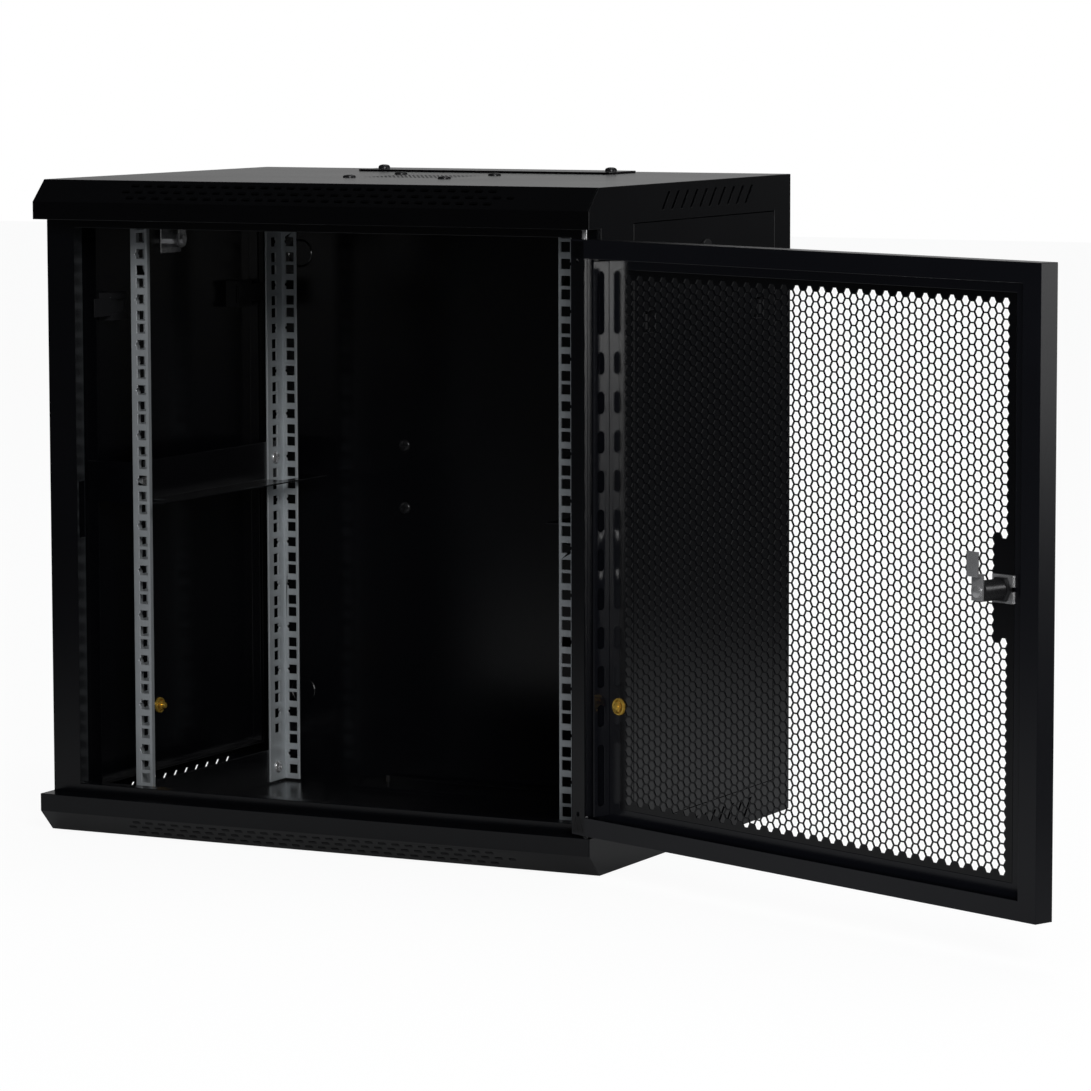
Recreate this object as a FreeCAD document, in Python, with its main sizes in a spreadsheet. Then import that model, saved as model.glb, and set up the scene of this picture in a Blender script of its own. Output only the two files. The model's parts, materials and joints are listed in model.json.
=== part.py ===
import FreeCAD, Part
import math
import os
import re
import Sketcher

# Wall mount network cabinet, 12 rack units, with its perforated door standing open.
# Millimetres. X to the right, Y to the back, Z up; the origin is the centre of the underside.
SIZES = {
    # outer box
    "width": 600, "depth": 450, "height": 637,
    "sheet": 1.2, "nose": 21, "lip": 38, "back_flange": 15,
    # front frame, set back behind the lips
    "frame_setback": 25, "frame_gauge": 1.5, "frame_return": 15,
    "frame_side": 30.5, "frame_end": 46.5,
    # perforations along the bevelled lips
    "lip_hole_length": 7, "lip_hole_width": 2.6, "lip_hole_pitch": 71.5, "lip_hole_columns": 6,
    "lip_row_low": 5, "lip_row_middle": 10.5, "lip_row_high": 16.2,
    # side frames: window for the panel and slanted vents
    "front_post": 68, "rear_post": 39, "window_end": 35, "window_rim": 12,
    "vent_width": 4, "vent_rise": 17, "vent_lean": 15, "vent_pitch": 20.8, "vent_count": 10,
    "vent_row_shift": 32, "vent_edge": 8,
    # back panel, recessed for the wall bracket
    "back_recess": 10.8, "knockout_radius": 13.5, "knockout_depth": 0.5,
    "knockout_side": 46, "knockout_end": 88.5,
    # wall bracket
    "bracket_length": 380, "bracket_half_height": 50, "crown_half_height": 18, "bracket_gauge": 2,
    "bracket_screw_x": 131, "bracket_screw_z": 32.5, "wall_hole_spacing": 320, "wall_hole_radius": 4.5,
    # rack rails
    "rack_hole_spacing": 465.1, "rack_unit": 44.45, "rail_units": 14,
    "rack_hole": 9.5, "hole_offset": 15.875, "rail_inner_edge": 7.6, "rail_outer_edge": 11.2,
    "rail_gauge": 2, "rail_side": 33, "rail_side_hole": 18, "rail_end_gap": 3.5,
    "front_rail_setback": 86.7, "rear_rail_setback": 378,
    # braces that carry the rails
    "brace_gauge": 1.5, "brace_web": 36, "brace_foot": 36, "brace_shelf": 35, "middle_web": 40,
    "rail_notch_gap": 1, "brace_screw_height": 18, "brace_screw_hole": 3.2,
    # screws
    "small_screw": 2.9, "small_head": 6.5, "small_head_height": 2.6, "screw_end": 4,
    "bracket_screw_end": 1, "floor_screw_end": 6,
    "screw_sides": 6, "head_sides": 8,
    "knob_screw": 2.5, "knob_head": 6, "knob_head_height": 4, "low_head_height": 2,
    "screw_hole_gap": 0.25,
    # cable openings and their covers
    "cable_opening_width": 220, "cable_opening_depth": 38, "cable_inset": 56,
    "cable_cover_width": 284, "cable_cover_depth": 60, "cable_cover_gauge": 2,
    "cable_screw_spacing": 258, "recess_depth": 4.2, "recess_margin": 8,
    # fan under the roof
    "fan_centre": 12, "fan_size": 120, "fan_height": 25, "fan_bore": 57, "fan_hole_spacing": 105,
    "fan_hub": 21, "fan_hub_base": 4, "fan_strut": 6, "strut_bite": 0.5,
    "fan_blade_reach": 53, "fan_blade_root": 18.9, "fan_blade_half_chord": 11,
    "fan_blade_gauge": 1.6, "fan_blades": 7, "running_gap": 0.4,
    "grille_hole": 19, "grille_pitch": 23.5, "grille_count": 4,
    # side panels with key lock and spring latches
    "panel_gap": 0.8, "panel_seat": 0.3, "panel_rim": 10,
    "panel_lock_drop": 67, "panel_lever": 38, "lock_radius": 9, "lock_head_radius": 11,
    "lock_head_height": 2, "lock_bracket_half_width": 19, "lock_bracket_half_height": 14,
    "lever_width": 13, "lever_tail": 7.8, "lever_gauge": 2, "spindle_radius": 3,
    "nut_radius": 5, "nut_height": 1.6,
    "panel_lock_depth": 14, "slide_gap": 0.3,
    "latch_inset": 36.5, "latch_drop": 128.5, "latch_window": 21, "latch_wall": 3,
    "latch_bolt_half": 9, "latch_bolt_gauge": 1.5, "latch_bolt_rim": 2.5, "latch_overlap": 5, "latch_tail": 12,
    "latch_tab": 6, "latch_guide": 2, "latch_tab_height": 14,
    # door
    "door_side_gap": 2.5, "door_head_gap": 8.5, "door_foot_gap": 2.5, "door_thickness": 20,
    "door_front_inset": 2, "hinge_inset": 10, "hinge_offset": 0.5, "door_open_angle": 157,
    "door_lip": 17.5, "door_lock_lip": 21, "mesh_border_x": 46, "mesh_border_z": 27,
    "pin_radius": 2.5, "pin_gap": 0.3, "pin_inside": 16, "pin_reach": 5, "collar_radius": 4.5,
    "collar_height": 2,
    # perforated infill
    "cell_pitch": 63, "cell_width": 55, "cell_margin": 8,
    # slotted stiffener
    "stiffener_inset": 32, "stiffener_foot": 12, "stiffener_gap": 2, "slot_corner": 2.4,
    "slot_width": 8, "slot_length": 20, "slot_pitch": 36.05, "slot_count": 10,
    "long_slot_length": 57, "long_slot_offset": 217.5,
    # door lock
    "door_lock_inset": 57, "door_lever": 34, "lever_bend": 13, "lever_step": 6.2,
    "lock_plate_half": 12, "lock_plate_gauge": 3,
    "door_lock_reach": 12, "strike_height": 55, "strike_width": 9.5, "strike_edge": 1.2,
    # earth studs
    "stud_radius": 8, "stud_height": 3, "stud_core": 3, "stud_core_height": 8,
    "panel_stud_y": -4, "panel_stud_height": 97, "door_stud_inset": 46, "door_stud_height": 122,
}

doc = FreeCAD.newDocument("NetworkCabinet")
sheet = doc.addObject("Spreadsheet::Sheet", "Sizes")
for row, (name, size) in enumerate(SIZES.items(), start=1):
    sheet.set(f"A{row}", name)
    sheet.set(f"B{row}", str(size))
    sheet.setAlias(f"B{row}", name)
doc.recompute()

SUBPARTS = {}
ALONG = {"XY": 1, "XZ": -1, "YZ": 1}
NO_TURN = "rotation(vector(0; 0; 1); 0)"


# ---- building blocks: sketches, plates, cuts and patterns bound to the sheet ----

def bound(text):
    """The expression with each size's name pointing at its cell."""
    return re.sub(r"[a-z_]+", lambda word: "Sizes." + word[0] if word[0] in SIZES else word[0], text)


def number(text):
    return float(sheet.evalExpression(bound(text)))


def datum(body, role):
    return next(item for item in body.Origin.OriginFeatures if item.Role == role)


def register(label, item):
    item.Label = label
    SUBPARTS[label] = item
    return item


def new_body(label, loose=False):
    body = register(label, doc.addObject("PartDesign::Body", label))
    body.AllowCompound = loose
    return body


def fix(sketch, kind, element, point, text):
    """A horizontal or vertical distance from the sketch's origin, bound to the sheet."""
    index = sketch.addConstraint(Sketcher.Constraint(kind, -1, 1, element, point, number(text)))
    sketch.setExpression(f"Constraints[{index}]", bound(text))


def add_polygon(sketch, points):
    first = sketch.GeometryCount
    corners = [FreeCAD.Vector(number(a), number(b), 0) for a, b in points]
    for here, there in zip(corners, corners[1:] + corners[:1]):
        sketch.addGeometry(Part.LineSegment(here, there), False)
    for index in range(len(points)):
        following = first + (index + 1) % len(points)
        sketch.addConstraint(Sketcher.Constraint("Coincident", first + index, 2, following, 1))
    for index, (a, b) in enumerate(points):
        fix(sketch, "DistanceX", first + index, 1, a)
        fix(sketch, "DistanceY", first + index, 1, b)


def add_circle(sketch, a, b, radius):
    centre = FreeCAD.Vector(number(a), number(b), 0)
    circle = Part.Circle(centre, FreeCAD.Vector(0, 0, 1), number(radius))
    element = sketch.addGeometry(circle, False)
    fix(sketch, "DistanceX", element, 3, a)
    fix(sketch, "DistanceY", element, 3, b)
    index = sketch.addConstraint(Sketcher.Constraint("Radius", element, number(radius)))
    sketch.setExpression(f"Constraints[{index}]", bound(radius))


def draw(body, plane, start, shapes):
    """A sketch on one of the body's own planes, moved along the axis across it to start."""
    sketch = body.newObject("Sketcher::SketchObject", "Sketch")
    sketch.AttachmentSupport = [(datum(body, plane + "_Plane"), "")]
    sketch.MapMode = "FlatFace"
    sketch.setExpression("AttachmentOffset.Base.z", bound(f"{ALONG[plane]} * ({start})"))
    for add, *values in shapes:
        add(sketch, *values)
    return sketch


def plate(body, plane, start, thickness, *shapes):
    """Material between start and start + thickness along the axis across the plane."""
    pad = body.newObject("PartDesign::Pad", "Pad")
    pad.Profile = draw(body, plane, start, shapes)
    pad.Reversed = ALONG[plane] < 0
    pad.setExpression("Length", bound(thickness))
    body.Tip = pad
    return pad


def cut(body, plane, start, depth, *shapes):
    """The same as plate, taken away."""
    pocket = body.newObject("PartDesign::Pocket", "Pocket")
    pocket.Profile = draw(body, plane, start, shapes)
    pocket.Reversed = ALONG[plane] > 0
    pocket.setExpression("Length", bound(depth))
    body.Tip = pocket
    return pocket


def row_pattern(body, axis, pitch, count):
    pattern = doc.addObject("PartDesign::LinearPattern", "Row")
    pattern.Direction = (datum(body, axis + "_Axis"), [""])
    pattern.setExpression("Length", bound(f"({pitch}) * (({count}) - 1)"))
    pattern.setExpression("Occurrences", bound(count))
    return pattern


def repeat(body, feature, *rows):
    """Copies of the feature in one row, or in a grid of two rows: each row is axis, pitch, count."""
    if len(rows) == 1:
        pattern = row_pattern(body, *rows[0])
        body.addObject(pattern)
        pattern.Originals = [feature]
    else:
        pattern = body.newObject("PartDesign::MultiTransform", "Grid")
        pattern.Originals = [feature]
        pattern.Transformations = [row_pattern(body, *row) for row in rows]
    body.Tip = pattern
    return pattern


def box(a, b, c, d):
    """A rectangle from a to b across and from c to d up the sketch."""
    return add_polygon, [(a, c), (b, c), (b, d), (a, d)]


def circle(a, b, radius):
    return add_circle, a, b, radius


def polygon(*points):
    return add_polygon, list(points)


def regular(a, b, radius, corners):
    """A regular polygon with its corners at radius: a small round form with few faces."""
    turns = [360 * corner / corners for corner in range(corners)]
    return polygon(*[(f"{a} + ({radius}) * cos({turn})", f"{b} + ({radius}) * sin({turn})") for turn in turns])


def screw_hole(a, b, radius):
    """A six sided hole with its flats at radius."""
    return regular(a, b, f"({radius}) / cos(30)", 6)


def slot(a, b, length, width):
    """An upright slot with its corners cut off, centred on a, b."""
    side, end = f"({width}) / 2", f"({length}) / 2"
    corners = []
    for across, up in ((1, 1), (-1, 1), (-1, -1), (1, -1)):
        near_side = (f"{a} + {across} * ({side})", f"{b} + {up} * ({end} - slot_corner)")
        near_end = (f"{a} + {across} * ({side} - slot_corner)", f"{b} + {up} * ({end})")
        corners += [near_side, near_end] if across * up > 0 else [near_end, near_side]
    return polygon(*corners)


def mirrored(side, text):
    return text if side > 0 else f"-({text})"


def outward(side, inner, thickness):
    """Where a slab starts along X when it grows away from the middle, on either side."""
    return inner if side > 0 else f"-({inner}) - ({thickness})"


def side_box(side, a, b, c, d):
    return box(mirrored(side, a), mirrored(side, b), c, d)


def screws(label, radius, head_radius, head_height, places):
    """Screws: each place is the seat of the head, the turn of its axis and the shank length."""
    links = []
    for seat, turn, length in places:
        head = doc.addObject("Part::Prism", "Head")
        head.setExpression("Polygon", bound("head_sides"))
        head.setExpression("Circumradius", bound(head_radius))
        head.setExpression("Height", bound(head_height))
        shank = doc.addObject("Part::Prism", "Shank")
        shank.setExpression("Polygon", bound("screw_sides"))
        shank.setExpression("Circumradius", bound(radius))
        shank.setExpression("Height", bound(length))
        shank.setExpression("Placement", bound(f"placement(vector(0; 0; -({length})); {NO_TURN})"))
        screw = doc.addObject("Part::Fuse", "Screw")
        screw.Base = head
        screw.Tool = shank
        screw.setExpression("Placement", bound(f"placement(vector({seat}); rotation({turn}))"))
        links.append(screw)
    group = doc.addObject("Part::Compound", label)
    group.Links = links
    return register(label, group)


# ---- places that several pieces share ----

FRONT = "(-depth / 2)"
BACK = "(depth / 2)"
FRAME = "(-depth / 2 + frame_setback)"
INNER_SIDE = "(width / 2 - sheet)"
OPENING_SIDE = "(width / 2 - frame_side)"
WINDOW_FRONT = "(-depth / 2 + frame_setback + front_post)"
WINDOW_REAR = "(depth / 2 - rear_post)"
WINDOW_MIDDLE = f"(({WINDOW_FRONT} + {WINDOW_REAR}) / 2)"
BACK_FACE = "(depth / 2 - back_recess)"
RAIL_INNER = "(rack_hole_spacing / 2 - rail_inner_edge)"
RAIL_OUTER = "(rack_hole_spacing / 2 + rail_outer_edge)"
FRONT_RAIL = "(-depth / 2 + front_rail_setback)"
REAR_RAIL = "(-depth / 2 + rear_rail_setback)"
WEB_FRONT = f"({WINDOW_FRONT} - sheet - brace_gauge)"
WEB_REAR = f"({WINDOW_REAR} + sheet + brace_gauge)"
SHELF = "(height / 2 - brace_gauge / 2)"
HINGE_X = "(width / 2 - hinge_inset)"
DOOR_FRONT = "(-depth / 2 + door_front_inset)"
HINGE_Y = f"({DOOR_FRONT} + door_thickness / 2 - hinge_offset)"
DOOR_FOOT = "(lip + door_foot_gap)"
DOOR_TOP = "(height - lip - door_head_gap)"
DOOR_TALL = f"({DOOR_TOP} - {DOOR_FOOT})"
DOOR_MIDDLE = f"(({DOOR_FOOT} + {DOOR_TOP}) / 2)"
LATCH_HEIGHT = "(height - latch_drop)"
CABLE_Y = "(depth / 2 - cable_inset)"


# ---- housing ----

def cover_profile(level):
    """Bevelled lip, flat and back flange of a cover; level turns a depth below the flat into a height."""
    bend = "sheet * tan(22.5)"
    path = [
        (BACK, "back_flange"), (BACK, "0"), (f"{FRONT} + nose", "0"), (FRONT, "nose"), (FRONT, "lip"),
        (FRAME, "lip"), (FRAME, "lip - sheet"), (f"{FRONT} + sheet", "lip - sheet"),
        (f"{FRONT} + sheet", f"nose + {bend}"), (f"{FRONT} + nose + {bend}", "sheet"),
        (f"{BACK} - sheet", "sheet"), (f"{BACK} - sheet", "back_flange"),
    ]
    return polygon(*[(y, level(depth)) for y, depth in path])


def lip_holes(body, low):
    """Three staggered rows of short slots through the bevel, cut straight down or up."""
    first = "-lip_hole_pitch * (lip_hole_columns - 1) / 2"
    rows = []
    for row, shift in (("lip_row_low", "0"), ("lip_row_middle", "lip_hole_pitch / 2"), ("lip_row_high", "0")):
        centre = f"{first} + {shift}"
        y = f"{FRONT} + {row}"
        rows.append(box(f"{centre} - lip_hole_length / 2", f"{centre} + lip_hole_length / 2",
                        f"{y} - lip_hole_width / 2", f"{y} + lip_hole_width / 2"))
    feature = cut(body, "XY", low, "nose + 4 * sheet", *rows)
    repeat(body, feature, ("X", "lip_hole_pitch", "lip_hole_columns"))


def cable_opening(body, low):
    """The slot for cables at the back and the holes for the two screws of its cover."""
    cut(body, "XY", low, "10 * sheet",
        box("-cable_opening_width / 2", "cable_opening_width / 2",
            f"{CABLE_Y} - cable_opening_depth / 2", f"{CABLE_Y} + cable_opening_depth / 2"),
        screw_hole("-cable_screw_spacing / 2", CABLE_Y, "knob_screw + screw_hole_gap"),
        screw_hole("cable_screw_spacing / 2", CABLE_Y, "knob_screw + screw_hole_gap"))


def make_top_cover():
    body = new_body("top_cover")
    plate(body, "YZ", f"-{INNER_SIDE}", f"2 * {INNER_SIDE}", cover_profile(lambda depth: f"height - ({depth})"))
    lip_holes(body, "height - nose - 3 * sheet")
    cable_opening(body, "height - 5 * sheet")
    corner = "-grille_pitch * (grille_count - 1) / 2"
    hole = cut(body, "XY", "height - 2 * sheet", "3 * sheet",
               box(f"{corner} - grille_hole / 2", f"{corner} + grille_hole / 2",
                   f"fan_centre + {corner} - grille_hole / 2", f"fan_centre + {corner} + grille_hole / 2"))
    repeat(body, hole, ("X", "grille_pitch", "grille_count"), ("Y", "grille_pitch", "grille_count"))
    cut(body, "XY", "height - 2 * sheet", "3 * sheet",
        *[screw_hole(f"{x} * fan_hole_spacing / 2", f"fan_centre + {y} * fan_hole_spacing / 2",
                 "small_screw + screw_hole_gap") for x in (-1, 1) for y in (-1, 1)])
    hinge_hole(body, "height - lip - sheet")


def make_bottom_cover():
    body = new_body("bottom_cover")
    plate(body, "YZ", f"-{INNER_SIDE}", f"2 * {INNER_SIDE}", cover_profile(lambda depth: depth))
    lip_holes(body, "-sheet")
    half_width = "cable_cover_width / 2 + recess_margin"
    half_depth = "cable_cover_depth / 2 + recess_margin - 2 * sheet"
    plate(body, "XY", "0", "recess_depth + sheet",
          box(f"-({half_width})", half_width, f"{CABLE_Y} - ({half_depth})", f"{CABLE_Y} + {half_depth}"))
    cut(body, "XY", "-sheet", "recess_depth + sheet",
        box(f"-({half_width}) + sheet", f"{half_width} - sheet",
            f"{CABLE_Y} - ({half_depth}) + sheet", f"{CABLE_Y} + {half_depth} - sheet"))
    cable_opening(body, "0")
    hinge_hole(body, "lip - 2 * sheet")


def hinge_hole(body, low):
    cut(body, "XY", low, "3 * sheet", screw_hole(HINGE_X, HINGE_Y, "pin_radius + pin_gap"))


def make_side_frame(label, side):
    """Flat side with the ends of the lips, a flanged window for the panel and two rows of vents."""
    body = new_body(label)
    plate(body, "YZ", outward(side, INNER_SIDE, "sheet"), "sheet", polygon(
        (BACK, "0"), (BACK, "height"), (f"{FRONT} + nose", "height"), (FRONT, "height - nose"),
        (FRONT, "height - lip"), (FRAME, "height - lip"), (FRAME, "lip"), (FRONT, "lip"),
        (FRONT, "nose"), (f"{FRONT} + nose", "0")))
    plate(body, "YZ", outward(side, f"{INNER_SIDE} - window_rim", "window_rim"), "window_rim",
          box(f"{WINDOW_FRONT} - sheet", f"{WINDOW_REAR} + sheet",
              "window_end - sheet", "height - window_end + sheet"))
    cut(body, "YZ", outward(side, f"{INNER_SIDE} - 2 * window_rim", "3 * window_rim"), "3 * window_rim",
        box(WINDOW_FRONT, WINDOW_REAR, "window_end", "height - window_end"))
    plate(body, "XY", "back_flange", "height - 2 * back_flange",
          side_box(side, f"{INNER_SIDE} - back_flange", INNER_SIDE, f"{BACK} - sheet", BACK))
    first = "vent_row_shift - vent_pitch * (vent_count - 1) / 2 - vent_lean / 2"
    vents = []
    for low in ("vent_edge", "height - vent_edge - vent_rise"):
        vents.append(polygon(
            (f"{first} - vent_width / 2", low), (f"{first} + vent_width / 2", low),
            (f"{first} + vent_width / 2 + vent_lean", f"{low} + vent_rise"),
            (f"{first} - vent_width / 2 + vent_lean", f"{low} + vent_rise")))
    feature = cut(body, "YZ", outward(side, f"{INNER_SIDE} - sheet", "3 * sheet"), "3 * sheet", *vents)
    repeat(body, feature, ("Y", "vent_pitch", "vent_count"))


def make_upright(label, side):
    body = new_body(label)
    plate(body, "XY", "sheet", "height - 2 * sheet", polygon(
        (mirrored(side, INNER_SIDE), FRAME), (mirrored(side, OPENING_SIDE), FRAME),
        (mirrored(side, OPENING_SIDE), f"{FRAME} + frame_return"),
        (mirrored(side, f"{OPENING_SIDE} + frame_gauge"), f"{FRAME} + frame_return"),
        (mirrored(side, f"{OPENING_SIDE} + frame_gauge"), f"{FRAME} + frame_gauge"),
        (mirrored(side, INNER_SIDE), f"{FRAME} + frame_gauge")))
    if side < 0:
        rear = f"{FRAME} + frame_return - strike_edge"
        cut(body, "YZ", f"-{OPENING_SIDE} - 2 * frame_gauge", "3 * frame_gauge",
            box(f"{rear} - strike_width", rear,
                f"{DOOR_MIDDLE} - strike_height / 2", f"{DOOR_MIDDLE} + strike_height / 2"))


def make_frame_bar(label, level):
    body = new_body(label)
    plate(body, "YZ", f"-{OPENING_SIDE}", f"2 * {OPENING_SIDE}", polygon(
        (FRAME, level("sheet")), (FRAME, level("frame_end")),
        (f"{FRAME} + frame_return", level("frame_end")),
        (f"{FRAME} + frame_return", level("frame_end - frame_gauge")),
        (f"{FRAME} + frame_gauge", level("frame_end - frame_gauge")),
        (f"{FRAME} + frame_gauge", level("sheet"))))


def make_back_panel():
    body = new_body("back_panel")
    plate(body, "XZ", f"{BACK_FACE} - sheet", "sheet",
          box(f"-{INNER_SIDE}", INNER_SIDE, "sheet", "height - sheet"))
    cut(body, "XZ", f"{BACK_FACE} - 2 * sheet", "3 * sheet", *bracket_screw_holes())
    for side in (-1, 1):
        for level in ("knockout_end", "height - knockout_end"):
            x = mirrored(side, "width / 2 - knockout_side")
            cut(body, "XZ", f"{BACK_FACE} - 2 * sheet", "sheet + knockout_depth",
                regular(x, level, "knockout_radius", 24))


def bracket_screw_holes():
    return [screw_hole(f"{x} * bracket_screw_x", f"height / 2 + {z} * bracket_screw_z",
                   "small_screw + screw_hole_gap") for x in (-1, 1) for z in (-1, 1)]


def make_wall_bracket():
    """Hat channel behind the back panel; its crown bears on the wall and takes the wall bolts."""
    body = new_body("wall_bracket")
    inner = f"{BACK_FACE} + bracket_gauge"
    path = [
        (BACK_FACE, "-bracket_half_height"), (inner, "-bracket_half_height"),
        (inner, "-crown_half_height"), (BACK, "-crown_half_height"), (BACK, "crown_half_height"),
        (inner, "crown_half_height"), (inner, "bracket_half_height"), (BACK_FACE, "bracket_half_height"),
        (BACK_FACE, "crown_half_height - bracket_gauge"),
        (f"{BACK} - bracket_gauge", "crown_half_height - bracket_gauge"),
        (f"{BACK} - bracket_gauge", "-crown_half_height + bracket_gauge"),
        (BACK_FACE, "-crown_half_height + bracket_gauge"),
    ]
    plate(body, "YZ", "-bracket_length / 2", "bracket_length",
          polygon(*[(y, f"height / 2 + ({z})") for y, z in path]))
    cut(body, "XZ", f"{BACK_FACE} - sheet", "back_recess / 2", *bracket_screw_holes())
    cut(body, "XZ", f"{BACK} - 2 * bracket_gauge", "3 * bracket_gauge",
        circle("-wall_hole_spacing / 2", "height / 2", "wall_hole_radius"),
        circle("wall_hole_spacing / 2", "height / 2", "wall_hole_radius"))


# ---- rack rails and their braces ----

def make_rail(label, side, face, back):
    """Angle with three square holes per rack unit; back is 1 where the side leg runs to the back, else -1."""
    body = new_body(label)
    near = face if back > 0 else f"{face} + rail_gauge"
    far = f"{near} + {back} * rail_side"
    inside = f"{near} + {back} * rail_gauge"
    plate(body, "XY", "rail_end_gap", "height - 2 * rail_end_gap", polygon(
        (mirrored(side, RAIL_INNER), near), (mirrored(side, RAIL_OUTER), near),
        (mirrored(side, RAIL_OUTER), far), (mirrored(side, f"{RAIL_OUTER} - rail_gauge"), far),
        (mirrored(side, f"{RAIL_OUTER} - rail_gauge"), inside), (mirrored(side, RAIL_INNER), inside)))
    x = mirrored(side, "rack_hole_spacing / 2")
    low = "height / 2 - rack_unit * rail_units / 2 + rack_unit / 2"
    squares = [box(f"{x} - rack_hole / 2", f"{x} + rack_hole / 2",
                   f"{low} + {step} * hole_offset - rack_hole / 2",
                   f"{low} + {step} * hole_offset + rack_hole / 2") for step in (-1, 0, 1)]
    front_holes = cut(body, "XZ", f"{face} - rail_gauge", "3 * rail_gauge", *squares)
    repeat(body, front_holes, ("Z", "rack_unit", "rail_units"))
    y = f"{near} + {back} * rail_side_hole"
    across = outward(side, f"{RAIL_OUTER} - 2 * rail_gauge", "3 * rail_gauge")
    cut(body, "YZ", across, "3 * rail_gauge",
        screw_hole(y, "brace_screw_height", "brace_screw_hole"),
        screw_hole(y, "height / 2 + rack_unit / 2", "brace_screw_hole"),
        screw_hole(y, "height - brace_screw_height", "brace_screw_hole"))


def brace_screw_holes(body, side, height):
    cut(body, "YZ", outward(side, f"{RAIL_OUTER} - brace_gauge", "3 * brace_gauge"), "3 * brace_gauge",
        screw_hole(f"{FRONT_RAIL} + rail_side_hole", height, "brace_screw_hole"),
        screw_hole(f"{REAR_RAIL} + rail_gauge - rail_side_hole", height, "brace_screw_hole"))


def make_end_brace(label, side, level):
    """Angle along the floor or the roof: its web is screwed to the two rails of one side."""
    body = new_body(label)
    web = f"{RAIL_OUTER} + brace_gauge"
    plate(body, "XZ", WEB_FRONT, f"{WEB_REAR} - {WEB_FRONT}", polygon(
        (mirrored(side, RAIL_OUTER), level("sheet")), (mirrored(side, RAIL_OUTER), level("sheet + brace_web")),
        (mirrored(side, web), level("sheet + brace_web")),
        (mirrored(side, web), level("sheet + brace_gauge")),
        (mirrored(side, f"{RAIL_OUTER} + brace_foot"), level("sheet + brace_gauge")),
        (mirrored(side, f"{RAIL_OUTER} + brace_foot"), level("sheet"))))
    brace_screw_holes(body, side, level("brace_screw_height"))


def make_middle_brace(label, side):
    """Angle at mid height whose shelf is notched round the rails, with feet on the side frame."""
    body = new_body(label)
    web = f"{RAIL_OUTER} + brace_gauge"
    plate(body, "XZ", WEB_FRONT, f"{WEB_REAR} - {WEB_FRONT}", polygon(
        (mirrored(side, web), SHELF), (mirrored(side, web), f"{SHELF} + middle_web"),
        (mirrored(side, RAIL_OUTER), f"{SHELF} + middle_web"),
        (mirrored(side, RAIL_OUTER), f"{SHELF} + brace_gauge"),
        (mirrored(side, f"{web} - brace_shelf"), f"{SHELF} + brace_gauge"),
        (mirrored(side, f"{web} - brace_shelf"), SHELF)))
    for near in (WEB_FRONT, f"{WEB_REAR} - brace_gauge"):
        plate(body, "XY", SHELF, "middle_web",
              side_box(side, RAIL_OUTER, f"{INNER_SIDE} - panel_gap", near, f"{near} + brace_gauge"))
    notches = []
    for near, far in ((f"{WEB_FRONT} - sheet", f"{FRONT_RAIL} + rail_side + rail_notch_gap"),
                      (f"{REAR_RAIL} + rail_gauge - rail_side - rail_notch_gap",
                       f"{REAR_RAIL} + rail_gauge + rail_notch_gap")):
        notches.append(side_box(side, f"{RAIL_INNER} - rail_notch_gap", RAIL_OUTER, near, far))
    cut(body, "XY", f"{SHELF} - brace_gauge", "2 * brace_gauge", *notches)
    brace_screw_holes(body, side, "height / 2 + rack_unit / 2")


# ---- cable covers and fan ----

def make_cable_cover(label, low):
    body = new_body(label)
    plate(body, "XY", low, "cable_cover_gauge",
          box("-cable_cover_width / 2", "cable_cover_width / 2",
              f"{CABLE_Y} - cable_cover_depth / 2", f"{CABLE_Y} + cable_cover_depth / 2"))
    cut(body, "XY", f"{low} - cable_cover_gauge", "3 * cable_cover_gauge",
        screw_hole("-cable_screw_spacing / 2", CABLE_Y, "knob_screw + screw_hole_gap"),
        screw_hole("cable_screw_spacing / 2", CABLE_Y, "knob_screw + screw_hole_gap"))


def make_fan_frame():
    """Square fan housing with a round bore, its motor seat held by four struts at the foot."""
    body = new_body("fan_frame")
    low = "height - sheet - fan_height"
    half = "fan_size / 2"
    plate(body, "XY", low, "fan_height", box(f"-{half}", half, f"fan_centre - {half}", f"fan_centre + {half}"))
    cut(body, "XY", f"{low} - sheet", "fan_height + 2 * sheet", regular("0", "fan_centre", "fan_bore", 24))
    cut(body, "XY", f"{low} - sheet", "fan_height + 2 * sheet",
        *[screw_hole(f"{x} * fan_hole_spacing / 2", f"fan_centre + {y} * fan_hole_spacing / 2",
                 "small_screw + screw_hole_gap") for x in (-1, 1) for y in (-1, 1)])
    reach = "fan_bore + strut_bite"
    plate(body, "XY", low, "fan_hub_base", box(f"-({reach})", reach, "fan_centre - fan_strut / 2",
                                               "fan_centre + fan_strut / 2"))
    plate(body, "XY", low, "fan_hub_base", box("-fan_strut / 2", "fan_strut / 2",
                                               f"fan_centre - ({reach})", f"fan_centre + {reach}"))
    plate(body, "XY", low, "fan_hub_base", regular("0", "fan_centre", "fan_hub", 16))


def make_fan_rotor():
    """Hub with pitched blades; it stands on the motor seat with a running gap."""
    body = new_body("fan_rotor")
    low = "height - sheet - fan_height + fan_hub_base + running_gap"
    tall = "fan_height - fan_hub_base - 4 * running_gap"
    plate(body, "XY", low, tall, circle("0", "0", "fan_hub"))
    chord = "fan_blade_half_chord"
    blade = plate(body, "YZ", "fan_blade_root", "fan_blade_reach - fan_blade_root", polygon(
        (f"-{chord}", f"{low} + {tall} - fan_blade_gauge"), (chord, f"{low} + fan_blade_gauge / 2"),
        (chord, f"{low} + 1.5 * fan_blade_gauge"), (f"-{chord}", f"{low} + {tall}")))
    blades = body.newObject("PartDesign::PolarPattern", "Blades")
    blades.Originals = [blade]
    blades.Axis = (datum(body, "Z_Axis"), [""])
    blades.Angle = 360
    blades.setExpression("Occurrences", bound("fan_blades"))
    body.Tip = blades
    body.setExpression("Placement", bound(f"placement(vector(0; fan_centre; 0); {NO_TURN})"))


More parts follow.
